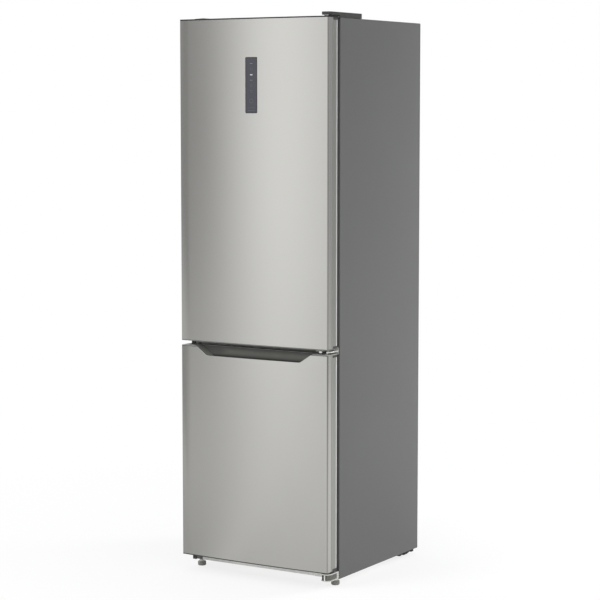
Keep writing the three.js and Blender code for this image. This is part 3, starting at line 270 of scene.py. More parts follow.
def lower_bracket():
    """The lower hinge: bright zinc on its plate and lip, darker grey and rougher on the web
    between, with painted shadow lines and a painted highlight at its curled end."""
    f = Finish("lower_bracket", srgb(246, 246, 242), Metallic=0.6)
    x, y, z = f.axis("X"), f.axis("Y"), f.axis("Z")
    below_plate = f.before(z, LOWER_PLATE_TOP - 3.8 * MM, 0.6 * MM)
    above_lip = f.past(z, LOWER_FOOT + 3.2 * MM, 0.8 * MM)
    on_nose = f.before(y, -250 * MM, 2 * MM)
    web = f.both(f.both(below_plate, above_lip), on_nose)
    cloud = f.noise(90, detail=4, roughness=0.6)
    # Painted shadow lines on the web's left part and in a line on its right, and a painted
    # highlight between them.
    left_shadow_lines = f.before(x, HINGE[0] - 4 * MM, 1 * MM)
    right_shadow_line = f.both(f.past(x, HINGE[0] + 3.5 * MM, 0.5 * MM),
                        f.before(x, HINGE[0] + 7 * MM, 0.5 * MM))
    dark = f.either(left_shadow_lines, right_shadow_line)
    painted_glint = f.both(f.past(x, HINGE[0] - 2 * MM, 0.5 * MM),
                   f.before(x, HINGE[0] + 3 * MM, 0.5 * MM))
    darker_web_and_shadow_lines = f.blend(dark, srgb(128, 130, 122), srgb(70, 71, 67))
    inside = f.blend(painted_glint, darker_web_and_shadow_lines, srgb(246, 246, 242))
    f.set(Base_Color=f.blend(web, f.shades(cloud, 0.06), inside))
    f.set(Roughness=f.remap(web, 0, 1, 0.24, 0.55))
    f.relief(f.noise(1400, detail=3), 0.02 * MM, 0.5)
    return f.material


def levelling_foot():
    """A grey moulded knob on a bright zinc stud."""
    f = Finish("levelling_foot", srgb(152, 152, 146))
    stud = f.past(f.axis("Z"), KNOB_TOP, 0.4 * MM)
    cloud = f.noise(60, detail=3)
    f.set(Base_Color=f.blend(stud, f.shades(cloud, 0.06), srgb(236, 236, 232)))
    f.set(Metallic=f.math("MULTIPLY", stud, 0.7))
    f.roughness(cloud, 0.42, 0.55)
    f.relief(f.noise(1500, detail=2), 0.05 * MM, 0.6)
    return f.material


def black_enamel():
    """Sprayed compressor can: low gloss with soft sags."""
    f = Finish("black_enamel", srgb(30, 30, 31), Coat_Weight=0.3, Coat_Roughness=0.25)
    sag = f.noise(40, (1, 1, 0.35), detail=3)
    f.set(Base_Color=f.shades(sag, 0.2))
    f.roughness(sag, 0.38, 0.52)
    f.relief(f.noise(600), 0.04 * MM, 0.6)
    return f.material


def drawn_copper():
    """Tube with faint draw lines and a few duller, browner patches."""
    f = Finish("drawn_copper", srgb(190, 118, 84), Metallic=1.0)
    patch = f.noise(30, detail=3)
    duller = f.remap(patch, 0.35, 0.7)
    f.set(Base_Color=f.blend(duller, srgb(196, 122, 88), srgb(138, 84, 62)))
    f.roughness(patch, 0.26, 0.45)
    f.relief(f.noise(1200), 0.01 * MM, 0.4)
    return f.material


def plain_aluminium():
    """Rolled fin and tube stock of the evaporator."""
    f = Finish("plain_aluminium", srgb(200, 202, 205), Metallic=1.0)
    roll = f.noise(1.0, (4000, 60, 60), detail=2)
    f.set(Base_Color=f.shades(roll, 0.06))
    f.roughness(roll, 0.3, 0.42)
    f.relief(roll, 0.01 * MM, 0.4)
    return f.material


def moulded_plastic(name, color, roughness=0.5, spread=0.04):
    """Injection-moulded plastic: fine spark-eroded grain and a faint uneven tone."""
    f = Finish(name, color)
    f.set(Base_Color=f.shades(f.noise(14, detail=3), spread))
    f.moulded_grain(roughness - 0.05, roughness + 0.06)
    return f.material


def grip_moulding():
    """The handle's scoop: dark grey, unevenly worn by fingers, with painted shade down in its
    pocket and under its lip, darker towards its left end, and painted light on its left wall and
    lip."""
    f = Finish("grip_moulding", srgb(102, 103, 97))
    worn = f.noise(26, (1, 1, 2), detail=3)
    x, z = f.axis("X"), f.axis("Z")
    floor = FREEZER_DOOR_TOP - NOTCH_DEPTH
    # Painted shade down in the pocket and under the lip; plain darkening towards the left end.
    depth = f.before(z, floor + 6 * MM, 7 * MM)
    shade_under_lip = f.remap(z, FREEZER_DOOR_TOP - 14 * MM, FREEZER_DOOR_TOP - 3 * MM, 0.0, 0.43)
    left = f.remap(x, -160 * MM, -115 * MM, 0.45, 0.0)
    pocket_shade_and_left_darkening = f.either(f.math("MULTIPLY", depth, depth), f.either(shade_under_lip, left))
    facing = f.node("ShaderNodeSeparateXYZ", {0: f.node("ShaderNodeTexCoord").outputs["Normal"]})
    # Painted light: the wall that faces +X and the top lip are lighter.
    painted_light_wall = f.past(facing.outputs["X"], 0.3, 0.05)
    lip = f.past(z, FREEZER_DOOR_TOP - 0.9 * MM, 0.3 * MM)
    scoop = f.blend(pocket_shade_and_left_darkening, f.shades(worn, 0.06), srgb(44, 45, 42))
    scoop_and_lit_wall = f.blend(painted_light_wall, scoop, f.shades(worn, 0.06, srgb(150, 151, 145)))
    f.set(Base_Color=f.blend(lip, scoop_and_lit_wall, srgb(170, 171, 166)))
    f.moulded_grain(0.42, 0.52)
    return f.material


def under_cap():
    """The refrigerator door's bottom cap: grey, with a black plug block below it."""
    # Painted light: the cap is lighter grey than the other dark caps, for the shaded gap between
    # the doors.
    f = Finish("under_cap_moulding", srgb(112, 113, 109))
    below = f.before(f.axis("Z"), MID_GAP + 7 * MM, 0.5 * MM)
    f.set(Base_Color=f.blend(below, f.shades(f.noise(14, detail=3), 0.04), srgb(20, 20, 20)))
    f.moulded_grain(0.4, 0.51)
    return f.material


def extruded_profile(node):
    """Door side profile: satin silver-grey lacquer with lines along its length, a rear bead painted
    lighter as a highlight and the dark lugs of its end plugs."""
    f = Finish("profile_of_" + node, srgb(178, 179, 174))
    low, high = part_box(node)
    y, z = f.axis("Y"), f.axis("Z")
    to_end = f.math("MINIMUM", f.math("SUBTRACT", z, low.z), f.math("SUBTRACT", high.z, z))
    near_end = f.before(to_end, 7.75 * MM, 0.25 * MM)
    lug = f.both(near_end, f.past(y, high.y - 30 * MM, 1 * MM))
    # Painted highlight: the rear bead is much lighter and less metallic.
    bead = f.past(y, high.y - 7.25 * MM, 0.75 * MM)
    lines = f.noise(1.0, (2600, 2600, 6), detail=2)
    lacquer = f.blend(bead, f.shades(lines, 0.04), srgb(238, 239, 235))
    f.set(Base_Color=f.blend(lug, lacquer, srgb(62, 62, 60)))
    less_metal = f.either(lug, f.math("MULTIPLY", bead, 0.55))
    f.set(Metallic=f.remap(less_metal, 0, 1, 0.85, 0.0))
    f.roughness(lines, 0.3, 0.38)
    f.relief(lines, 0.02 * MM, 0.5)
    return f.material


def formed_liner():
    """Thermoformed white inner wall: glossy, with a slight orange peel."""
    f = Finish("formed_liner", srgb(236, 238, 237), Coat_Weight=0.25, Coat_Roughness=0.12)
    peel = f.noise(260, detail=1)
    f.set(Base_Color=f.shades(f.noise(5, detail=3), 0.015))
    f.roughness(peel, 0.26, 0.36)
    f.relief(peel, 0.03 * MM, 0.3)
    return f.material


def clear_moulding():
    """Clear drawer and bin plastic: slight haze, flow lines and a cool tint."""
    f = Finish("clear_moulding", srgb(240, 245, 248), Transmission_Weight=0.75, IOR=1.49)
    flow = f.noise(9, (1, 1, 3), detail=3)
    f.roughness(flow, 0.06, 0.18)
    f.set(Base_Color=f.shades(flow, 0.02))
    f.relief(flow, 0.12 * MM, 0.2)
    f.set(Alpha=0.5)
    return f.material


def shelf_glass():
    """Tempered glass with satin white trims at its front and back edge."""
    f = Finish("shelf_glass", srgb(238, 249, 244), IOR=1.5)
    y = f.axis("Y")
    front = f.before(y, SHELF_TRIM_BACK + 0.1 * MM, 0.1 * MM)
    rear = f.past(y, SHELF_UPSTAND + 0.1 * MM, 0.1 * MM)
    trim = f.either(front, rear)
    cloud = f.noise(30, detail=2)
    f.set(Base_Color=f.blend(trim, f.shades(cloud, 0.01), srgb(225, 228, 228)))
    f.set(Transmission_Weight=f.remap(trim, 0, 1, 0.95, 0.0))
    f.set(Alpha=f.remap(trim, 0, 1, 0.5, 1.0))
    glass_roughness = f.swing(cloud, 0.02, 0.05)
    f.set(Roughness=f.math("ADD", f.math("MULTIPLY", trim, 0.3), glass_roughness))
    return f.material


def touch_window():
    """Dark smoked window of the display: blue-grey, a little deeper round its border."""
    f = Finish("touch_window", srgb(54, 54, 65), Coat_Weight=0.5, Coat_Roughness=0.06)
    low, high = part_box("display_panel")
    from_middle_x = f.math("ABSOLUTE", f.axis("X"), 0.0)
    height = f.math("SUBTRACT", f.axis("Z"), (low.z + high.z) / 2)
    from_middle_z = f.math("ABSOLUTE", height, 0.0)
    border_x = f.past(from_middle_x, 19.25 * MM, 1.25 * MM)
    border_z = f.past(from_middle_z, (high.z - low.z) / 2 - 5.75 * MM, 1.25 * MM)
    border = f.either(border_x, border_z)
    smoke = f.noise(60, detail=2)
    f.set(Base_Color=f.blend(border, f.shades(smoke, 0.05), srgb(42, 42, 48)))
    f.roughness(smoke, 0.14, 0.2)
    return f.material


def soft_seal():
    """Gasket: dusty soft plastic with a fine grain."""
    f = Finish("soft_seal", srgb(78, 80, 82), Sheen_Weight=0.2, Sheen_Roughness=0.5)
    dust = f.noise(120, detail=3)
    f.set(Base_Color=f.shades(dust, 0.1))
    f.roughness(dust, 0.65, 0.8)
    f.relief(f.noise(900), 0.05 * MM, 0.5)
    return f.material


def rigid_foam():
    """Poured polyurethane foam: cream, blotchy and porous."""
    f = Finish("rigid_foam", srgb(226, 214, 160))
    pores = f.cells(420).outputs["Distance"]
    f.set(Base_Color=f.shades(f.noise(18, detail=4), 0.1))
    f.set(Roughness=f.remap(pores, 0, 1, 0.85, 0.95))
    f.relief(pores, 0.4 * MM, 0.6)
    return f.material


def lit_mark(name, color, glow):
    """A printed or lit mark on the display."""
    f = Finish(name, color, Emission_Color=color, Emission_Strength=glow)
    f.roughness(f.noise(800), 0.3, 0.4)
    f.set(Base_Color=f.shades(f.noise(300), 0.05))
    return f.material


def painted_highlight_edge():
    """The cut and folded rim of the door steel, painted brighter than its face as a highlight."""
    f = Finish("painted_highlight_edge", srgb(232, 231, 227), Metallic=1.0)
    f.roughness(f.noise(1.0, (60, 60, 3000)), 0.18, 0.28)
    f.set(Base_Color=f.shades(f.noise(200), 0.04))
    return f.material


FINISHES = {
    "inox": satin_stainless(),
    "paint": coated_sheet(),
    "galvanised": galvanised_sheet("galvanised_sheet", srgb(196, 198, 198)),
    "zinc": zinc_plate(),
    "black_steel": black_enamel(),
    "copper": drawn_copper(),
    "aluminium": plain_aluminium(),
    "grey_trim": extruded_profile("fridge_door_trim_right"),
    "dark_plastic": moulded_plastic("dark_moulding", srgb(62, 63, 61), 0.42),
    "black_plastic": moulded_plastic("black_moulding", srgb(22, 22, 23), 0.5, spread=0.12),
    "white_plastic": formed_liner(),
    "clear_plastic": clear_moulding(),
    "foot_grey": levelling_foot(),
    "gasket": soft_seal(),
    "foam": rigid_foam(),
    "glass": shelf_glass(),
    "display": touch_window(),
}
MARKS = {
    "bright": lit_mark("mark_bright", srgb(176, 176, 186), 0.1),
    "middle": lit_mark("mark_middle", srgb(124, 124, 136), 0.05),
    "faint": lit_mark("mark_faint", srgb(86, 86, 98), 0.0),
}
ROLLER_BLACK = moulded_plastic("roller_moulding", srgb(10, 10, 10), 0.6, spread=0.2)
# Steel painted brighter as a highlight, for the handle's rim and the middle hinge's pad.
EDGE_STEEL = painted_highlight_edge()
FREEZER_PROFILE = extruded_profile("freezer_door_trim_right")

OWN_FINISHES = {                 # for solids that look unlike the rest of their material slot
    "freezer_door_grip_cap": grip_moulding(),
    "fridge_door_top_cap": moulded_plastic("top_cap_moulding", srgb(36, 36, 36), 0.45),
    "fridge_door_bottom_cap": under_cap(),
    "freezer_door_trim_left": FREEZER_PROFILE,
    "freezer_door_trim_right": FREEZER_PROFILE,
    "bottom_hinge_bracket": lower_bracket(),
    "base_panel": galvanised_sheet("base_sheet", srgb(236, 236, 233)),
    # Painted light: lighter than the cabinet's paint, to lift the shaded gap between the doors.
    "centre_rail": moulded_plastic("rail_enamel", srgb(200, 200, 197), 0.42),
    "roller_bracket_left": ROLLER_BLACK,
    "roller_bracket_right": ROLLER_BLACK,
    "rear_roller_left": ROLLER_BLACK,
    "rear_roller_right": ROLLER_BLACK,
}

# ---------- carried-over solids: finish and fine edge rounding ----------

SMOOTH_ANGLE = math.radians(32)
BOW_TOLERANCE = math.radians(4)  # faces this close to the bow's normal belong to it
SIDE_FACING = 0.9995             # and faces with more than this along X are flat sides
WELD_DISTANCE = 0.002 * MM
FLAT_ANGLE = math.radians(0.05)  # faces that differ by less are joined before the bevel
EDGE_ROUNDING = {                # millimetres, by material slot
    "inox": 0.35, "paint": 0.6, "galvanised": 0.3, "zinc": 0.5, "black_steel": 0.8, "copper": 0,
    "aluminium": 0.15, "grey_trim": 0.2, "dark_plastic": 0.5, "black_plastic": 0.5,
    "white_plastic": 0.6, "clear_plastic": 0.5, "foot_grey": 0.5, "gasket": 0.4, "foam": 0,
    "glass": 0.35, "display": 0.3,
}


def geometry_group(name):
    """A geometry node group that takes and gives one geometry."""
    group = bpy.data.node_groups.new(name, "GeometryNodeTree")
    for way in ("INPUT", "OUTPUT"):
        group.interface.new_socket("Geometry", in_out=way, socket_type="NodeSocketGeometry")
    return group


def smooth_by_angle():
    """Geometry nodes that shade smooth and keep edges over SMOOTH_ANGLE sharp."""
    group = geometry_group("smooth_by_angle")
    source = add_node(group, "NodeGroupInput")
    angle = add_node(group, "GeometryNodeInputMeshEdgeAngle")
    flat = add_node(group, "FunctionNodeCompare", {
        "A": angle.outputs["Unsigned Angle"], "B": SMOOTH_ANGLE,
    }, operation="LESS_THAN")
    faces = add_node(group, "GeometryNodeSetShadeSmooth", {
        "Geometry": source.outputs[0],
    }, domain="FACE")
    edges = add_node(group, "GeometryNodeSetShadeSmooth", {
        "Geometry": faces.outputs[0], "Shade Smooth": flat.outputs[0],
    }, domain="EDGE")
    add_node(group, "NodeGroupOutput", {0: edges.outputs[0]})
    return group


SMOOTHING = smooth_by_angle()


def bowed_normals():
    """Geometry nodes that give a door's bowed front the exact normals of its curve, and keep
    its flat sides flat."""
    group = geometry_group("bowed_normals")
    source = add_node(group, "NodeGroupInput")
    position = add_node(group, "GeometryNodeInputPosition")
    place = add_node(group, "ShaderNodeSeparateXYZ", {0: position.outputs[0]})
    bend = 2 * BOW / HALF_WIDTH ** 2
    slope = add_node(group, "ShaderNodeMath", {
        0: place.outputs["X"], 1: bend,
    }, operation="MULTIPLY")
    leaning = add_node(group, "ShaderNodeCombineXYZ", {"X": slope.outputs[0], "Y": -1})
    exact = add_node(group, "ShaderNodeVectorMath", {
        0: leaning.outputs[0],
    }, operation="NORMALIZE").outputs[0]
    normal = add_node(group, "GeometryNodeInputNormal").outputs["Normal"]
    of_face = add_node(group, "GeometryNodeFieldOnDomain", {
        "Value": normal,
    }, domain="FACE", data_type="FLOAT_VECTOR").outputs[0]
    agreement = add_node(group, "ShaderNodeVectorMath", {
        0: of_face, 1: exact,
    }, operation="DOT_PRODUCT")
    on_front = add_node(group, "FunctionNodeCompare", {
        "A": agreement.outputs["Value"], "B": math.cos(BOW_TOLERANCE),
    }, operation="GREATER_THAN")
    sideways = add_node(group, "ShaderNodeSeparateXYZ", {0: of_face})
    size = add_node(group, "ShaderNodeMath", {0: sideways.outputs["X"]}, operation="ABSOLUTE")
    on_side = add_node(group, "FunctionNodeCompare", {
        "A": size.outputs[0], "B": SIDE_FACING,
    }, operation="GREATER_THAN")
    flat = add_node(group, "GeometryNodeSwitch", {
        "Switch": on_side.outputs[0], "False": normal, "True": of_face,
    }, input_type="VECTOR")
    chosen = add_node(group, "GeometryNodeSwitch", {
        "Switch": on_front.outputs[0], "False": flat.outputs[0], "True": exact,
    }, input_type="VECTOR")
    write = add_node(group, "GeometryNodeSetMeshNormal", {
        "Mesh": source.outputs[0], "Custom Normal": chosen.outputs[0],
    }, mode="FREE", domain="CORNER")
    add_node(group, "NodeGroupOutput", {0: write.outputs[0]})
    return group


BOWED_NORMALS = bowed_normals()


def round_edges(obj, width):
    """Joins the split corners, rounds the sharp edges and shades what is nearly flat smooth."""
    if "custom_normal" in obj.data.attributes:
        obj.data.attributes.remove(obj.data.attributes["custom_normal"])
    weld = obj.modifiers.new("weld", "WELD")
    weld.merge_threshold = WELD_DISTANCE
    if width:
        flat = obj.modifiers.new("flat_faces", "DECIMATE")
        flat.decimate_type = "DISSOLVE"
        flat.angle_limit = FLAT_ANGLE
        bevel = obj.modifiers.new("edges", "BEVEL")
        bevel.width = width * MM
        bevel.segments = 2
        bevel.limit_method = "ANGLE"
        bevel.angle_limit = SMOOTH_ANGLE
        bevel.use_clamp_overlap = True
    obj.modifiers.new("smooth", "NODES").node_group = SMOOTHING
    if obj.name in ("fridge_door_skin", "freezer_door_skin"):
        obj.modifiers.new("bow", "NODES").node_group = BOWED_NORMALS
    else:
        even = obj.modifiers.new("even_faces", "WEIGHTED_NORMAL")
        even.keep_sharp = True


def paint(obj, material):
    """Gives an object one material."""
    obj.data.materials.clear()
    obj.data.materials.append(material)


def dress_solids():
    """Gives each carried-over solid its finish and its edge rounding."""
    for part in frame["record"]["subparts"]:
        obj = nodes[part["node"]]
        slot = part["material_slot"]
        paint(obj, OWN_FINISHES.get(obj.name, FINISHES[slot]))
        round_edges(obj, EDGE_ROUNDING[slot])


# ---------- small fittings ----------

ALONG_X = Vector((1, 0, 0))
ALONG_Y = Vector((0, 1, 0))
ALONG_Z = Vector((0, 0, 1))

TRAY_MARGIN = 2 * MM             # the display's tray is this much larger than its glass
MARK_PROUD = 0.05 * MM           # the marks' front stands this far in front of the glass
MARK_DEPTH = 0.08 * MM           # so their back is just inside it
MARK_BARS = (                    # millimetres below the glass's top, width, height; tone
    (21, 10, 1.6, "middle"), (59, 11, 4.2, "bright"), (77, 10, 1.3, "middle"),
    (170, 28, 0.7, "faint"), (179, 28, 0.7, "faint"),
)
MARK_RINGS = (                   # millimetres below the glass's top, radius
    (40, 4.5), (96, 4.5), (115, 4.5), (147, 7.5),
)
RING_WIDTH = 1.1 * MM

RIM_RUN = 8 * MM                 # the rim's curve starts this far from the cut-out's corner
RIM_STEPS = 8                    # in the curve at a corner
RIM_FLOOR_STEPS = 12             # along the floor, from the middle to a corner
RIM_DEPTH = 3.2 * MM
RIM_THICKNESS = 0.7 * MM
RIM_SETBACK = 0.15 * MM          # behind the steel's front
RIM_LEAN = 0.3 * MM              # its inner edge lies this much further back

SCREW_RADIUS = 2.9 * MM
SCREW_SIDES = 20
SCREW_HEIGHT = 0.62              # the head's height and recess as shares of its radius
RECESS_ARM = 0.48
RECESS_HALF_WIDTH = 0.12
RECESS_DEPTH = 0.55              # as a share of the head's height
SCREW_PROFILE = (                # shares of the head's radius and height
    (1.0, 0.0), (0.97, 0.35), (0.82, 0.72), (0.62, 0.92),
)
SCREW_INSET = 9 * MM             # from a panel's edge
COVER_SCREW_X = 95 * MM          # the two inner columns on the machine-room cover
PANEL_SCREW_ROWS = 6
PANEL_SCREW_END = 40 * MM        # from the rear panel's top and bottom
PANEL_RIDGE = 1.8 * MM           # the panel's pressed ridges stand this proud of its flat face

NOSE_RADIUS = 17 * MM            # round nose of the middle hinge
CLIP_GAP = 0.2 * MM
CLIP_THICKNESS = 1.2 * MM
CLIP_HEIGHT = 6 * MM
CLIP_START = -113                # degrees from +X
CLIP_SWEEP = 44
CLIP_STEPS = 6
PAD_WIDTH = 12 * MM
PAD_HEIGHT = 5.6 * MM
PAD_DEPTH = 2 * MM
PAD_PLACE = (-15.5 * MM, -18 * MM)  # from the door axis
PAD_TURN = math.radians(3)
SKIRT_INSET = 3.6 * MM           # of the top cover's skirt from the cover's right side
SKIRT_THICKNESS = 1.4 * MM
SKIRT_OUTLINE = (                # Y and height in millimetres
    (-300, 1929.6), (-244, 1929.6), (-244, 1934.2), (-302, 1934.2),
)

FOOT_RIBS = 22
RIB_ROOT = 2.2 * MM              # width at the knob
RIB_CREST = 1 * MM               # width at the outside
RIB_RISE = 1.2 * MM
RIB_SUNK = 0.6 * MM              # its root lies this deep in the knob
RIB_BOTTOM = 2.2 * MM
RIB_LENGTH = 11.4 * MM


def mesh_piece(name, bm, material, body):
    """Makes a finished piece of a bmesh and lets it ride on a body."""
    bmesh.ops.recalc_face_normals(bm, faces=bm.faces)
    mesh = bpy.data.meshes.new(name)
    bm.to_mesh(mesh)
    bm.free()
    obj = bpy.data.objects.new(name, mesh)
    bpy.context.scene.collection.objects.link(obj)
    paint(obj, material)
    obj.modifiers.new("smooth", "NODES").node_group = SMOOTHING
    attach(obj, body)
    return obj


def bridge(bm, first, second):
    """Joins two closed loops of equal length by four-sided faces."""
    for i in range(len(first)):
        j = (i + 1) % len(first)
        bm.faces.new([first[i], first[j], second[j], second[i]])


def add_prism(bm, outline, axis_x, axis_y, depth, origin):
    """Adds an outline of (u, v) points in the plane of two axes, thickened by a depth vector."""
    near = [bm.verts.new(origin + axis_x * u + axis_y * v) for u, v in outline]
    far = [bm.verts.new(v.co + depth) for v in near]
    bm.faces.new(near)
    bm.faces.new(reversed(far))
    bridge(bm, far, near)


def circle(sides):
    """The cosine and sine of each corner of a regular polygon."""
    turns = [2 * math.pi * i / sides for i in range(sides)]
    return [(math.cos(turn), math.sin(turn)) for turn in turns]


def rounded_bar(width, height, segments=6):
    """Outline of a bar with round ends."""
    radius = min(width, height) / 2
    u, v = width / 2 - radius, height / 2 - radius
    points = []
    for quarter, (centre_u, centre_v) in enumerate(((u, v), (-u, v), (-u, -v), (u, -v))):
        for i in range(segments + 1):
            a = math.radians(90 * (quarter + i / segments))
            points.append((centre_u + radius * math.cos(a), centre_v + radius * math.sin(a)))
    return points


def cross_outline(arm, half_width):
    """Outline of a cross: the same three corners in each quarter turn."""
    points = []
    for quarter in range(4):
        for u, v in ((arm, -half_width), (arm, half_width), (half_width, half_width)):
            for _ in range(quarter):
                u, v = -v, u
            points.append((u, v))
    return points


def add_ring(bm, radius, width, origin, depth, sides=28):
    """Adds a flat ring that faces -Y."""
    inner = radius - width
    loops = []
    for r, y in ((radius, 0), (radius, depth), (inner, depth), (inner, 0)):
        corners = [Vector((r * cosine, y, r * sine)) for cosine, sine in circle(sides)]
        loops.append([bm.verts.new(origin + corner) for corner in corners])
    for k in range(4):
        bridge(bm, loops[k], loops[(k + 1) % 4])


def display_marks():
    """Plain bars and rings of the touch display, one piece for each tone."""
    low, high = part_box("display_panel")
    glass_top = high.z - TRAY_MARGIN

    def place(down):
        return Vector((0, low.y - MARK_PROUD, glass_top - down * MM))

    for tone, material in MARKS.items():
        bm = bmesh.new()
        for down, width, height, kind in MARK_BARS:
            if kind == tone:
                add_prism(bm, rounded_bar(width * MM, height * MM), ALONG_X, ALONG_Z,
                          ALONG_Y * MARK_DEPTH, place(down))
        if tone == "faint":
            for down, radius in MARK_RINGS:
                add_ring(bm, radius * MM, RING_WIDTH, place(down), MARK_DEPTH)
        mesh_piece("display_marks_" + tone, bm, material, "fridge_door")


def notch_line():
    """The cut-out's outline in X and Z: down its left slant, along its floor and up the right."""
    top = FREEZER_DOOR_TOP - STEEL_TOP_GAP
    floor = FREEZER_DOOR_TOP - NOTCH_DEPTH
    slope = (NOTCH_HALF_TOP - NOTCH_HALF_BOTTOM) / NOTCH_DEPTH
    corner = Vector((NOTCH_HALF_BOTTOM, floor))
    start = corner - Vector((RIM_RUN, 0))
    end = corner + Vector((slope, 1)).normalized() * RIM_RUN
    right = []
    for i in range(RIM_FLOOR_STEPS):
        right.append(Vector((NOTCH_HALF_BOTTOM * i / RIM_FLOOR_STEPS, floor)))
    for i in range(RIM_STEPS + 1):
        t = i / RIM_STEPS
        right.append(start.lerp(corner, t).lerp(corner.lerp(end, t), t))
    right.append(Vector((NOTCH_HALF_BOTTOM + slope * (top - floor), top)))
    left = [Vector((-p.x, p.y)) for p in reversed(right[1:])]
    return left + right


def notch_rim():
    """Folded rim of the steel round the handle's cut-out."""
    line = notch_line()
    bm = bmesh.new()
    rows = []
    for i, p in enumerate(line):
        before, after = line[max(i - 1, 0)], line[min(i + 1, len(line) - 1)]
        along = (after - before).normalized()
        inner = p + Vector((-along.y, along.x)) * RIM_THICKNESS
        y = door_front(p.x) + RIM_SETBACK
        rows.append([bm.verts.new(co) for co in (
            (p.x, y, p.y), (inner.x, y + RIM_LEAN, inner.y),
            (inner.x, y + RIM_DEPTH, inner.y), (p.x, y + RIM_DEPTH, p.y),
        )])
    for a, b in zip(rows, rows[1:]):
        bridge(bm, b, a)
    bm.faces.new(rows[0])
    bm.faces.new(reversed(rows[-1]))
    mesh_piece("handle_rim", bm, EDGE_STEEL, "freezer_door")


def loop_edges(bm, loop):
    """The edges of a closed loop of vertices."""
    return [bm.edges.get((loop[i], loop[(i + 1) % len(loop)])) for i in range(len(loop))]


def add_screw(bm, centre):
    """Adds a pan-head screw with a cross recess that looks along +Y from a surface point."""
    side = ALONG_Y.orthogonal().normalized()
    up = ALONG_Y.cross(side)
    height = SCREW_RADIUS * SCREW_HEIGHT
    loops = []
    for share, rise in SCREW_PROFILE:
        middle = centre + ALONG_Y * (rise * height)
        loops.append([
            bm.verts.new(middle + (side * cosine + up * sine) * (SCREW_RADIUS * share))
            for cosine, sine in circle(SCREW_SIDES)
        ])
    for a, b in zip(loops, loops[1:]):
        bridge(bm, a, b)
    bm.faces.new(reversed(loops[0]))
    cross = cross_outline(SCREW_RADIUS * RECESS_ARM, SCREW_RADIUS * RECESS_HALF_WIDTH)
    rim = [bm.verts.new(centre + ALONG_Y * height + side * u + up * v) for u, v in cross]
    floor = [bm.verts.new(v.co - ALONG_Y * (height * RECESS_DEPTH)) for v in rim]
    bridge(bm, floor, rim)
    bm.faces.new(floor)
    edges = loop_edges(bm, loops[-1]) + loop_edges(bm, rim)
    bmesh.ops.triangle_fill(bm, use_beauty=True, edges=edges)


def screws():
    """Screws of the machine-room cover and of the rear panel."""
    low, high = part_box("machine_room_cover")
    bm = bmesh.new()
    for x in (low.x + SCREW_INSET, -COVER_SCREW_X, COVER_SCREW_X, high.x - SCREW_INSET):
        for z in (low.z + SCREW_INSET, high.z - SCREW_INSET):
            add_screw(bm, Vector((x, high.y, z)))
    mesh_piece("machine_room_screws", bm, FINISHES["zinc"], "cabinet")

    low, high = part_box("rear_panel")
    pitch = (high.z - low.z - 2 * PANEL_SCREW_END) / (PANEL_SCREW_ROWS - 1)
    bm = bmesh.new()
    for row in range(PANEL_SCREW_ROWS):
        z = low.z + PANEL_SCREW_END + row * pitch
        for x in (low.x + SCREW_INSET, high.x - SCREW_INSET):
            add_screw(bm, Vector((x, high.y - PANEL_RIDGE, z)))
    mesh_piece("rear_panel_screws", bm, FINISHES["zinc"], "cabinet")


def middle_hinge_clip():
    """Dark clip round the middle hinge's nose."""
    inner = NOSE_RADIUS + CLIP_GAP
    outer = inner + CLIP_THICKNESS
    arc = [math.radians(CLIP_START + CLIP_SWEEP * i / CLIP_STEPS) for i in range(CLIP_STEPS + 1)]
    outline = [(outer * math.cos(a), outer * math.sin(a)) for a in arc]
    outline += [(inner * math.cos(a), inner * math.sin(a)) for a in reversed(arc)]
    bm = bmesh.new()
    add_prism(bm, outline, ALONG_X, ALONG_Y, ALONG_Z * CLIP_HEIGHT,
              Vector((*HINGE, MID_GAP - CLIP_HEIGHT / 2)))
    mesh_piece("middle_hinge_clip", bm, FINISHES["black_plastic"], "cabinet")


def middle_hinge_highlight_pad():
    """Pad beside the middle hinge's nose, in steel painted bright: a painted highlight."""
    along = Vector((math.cos(PAD_TURN), math.sin(PAD_TURN), 0))
    place = Vector((HINGE[0] + PAD_PLACE[0], HINGE[1] + PAD_PLACE[1], MID_GAP))
    bm = bmesh.new()
    add_prism(bm, rounded_bar(PAD_WIDTH, PAD_HEIGHT), along, ALONG_Z, ALONG_Y * PAD_DEPTH, place)
    mesh_piece("middle_hinge_highlight_pad", bm, EDGE_STEEL, "cabinet")


def top_cover_shade_skirt():
    """Black skirt under the top hinge cover's right side: part of the cover, and painted shade over
    the hinge arm beneath it.
    """
    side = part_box("top_hinge_cover")[1].x - SKIRT_INSET
    outline = [(y * MM, z * MM) for y, z in SKIRT_OUTLINE]
    bm = bmesh.new()
    add_prism(bm, outline, ALONG_Y, ALONG_Z, ALONG_X * SKIRT_THICKNESS, ALONG_X * side)
    mesh_piece("top_cover_shade_skirt", bm, FINISHES["black_plastic"], "cabinet")


def foot_ribs(side):
    """Upright grip ribs round a levelling foot."""
    foot = "front_foot_" + side
    low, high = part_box(foot)
    centre = (low + high) / 2
    root = (high.x - low.x) / 2 - RIB_SUNK
    shape = [(-RIB_ROOT / 2, 0), (-RIB_CREST / 2, RIB_RISE), (RIB_CREST / 2, RIB_RISE),
             (RIB_ROOT / 2, 0)]
    bm = bmesh.new()
    for cosine, sine in circle(FOOT_RIBS):
        outward = Vector((cosine, sine, 0))
        across = Vector((-sine, cosine, 0))
        place = Vector((centre.x, centre.y, RIB_BOTTOM)) + outward * root
        add_prism(bm, shape, across, outward, ALONG_Z * RIB_LENGTH, place)
    mesh_piece("foot_ribs_" + side, bm, FINISHES["foot_grey"], foot + "_body")


# ---------- studio ----------

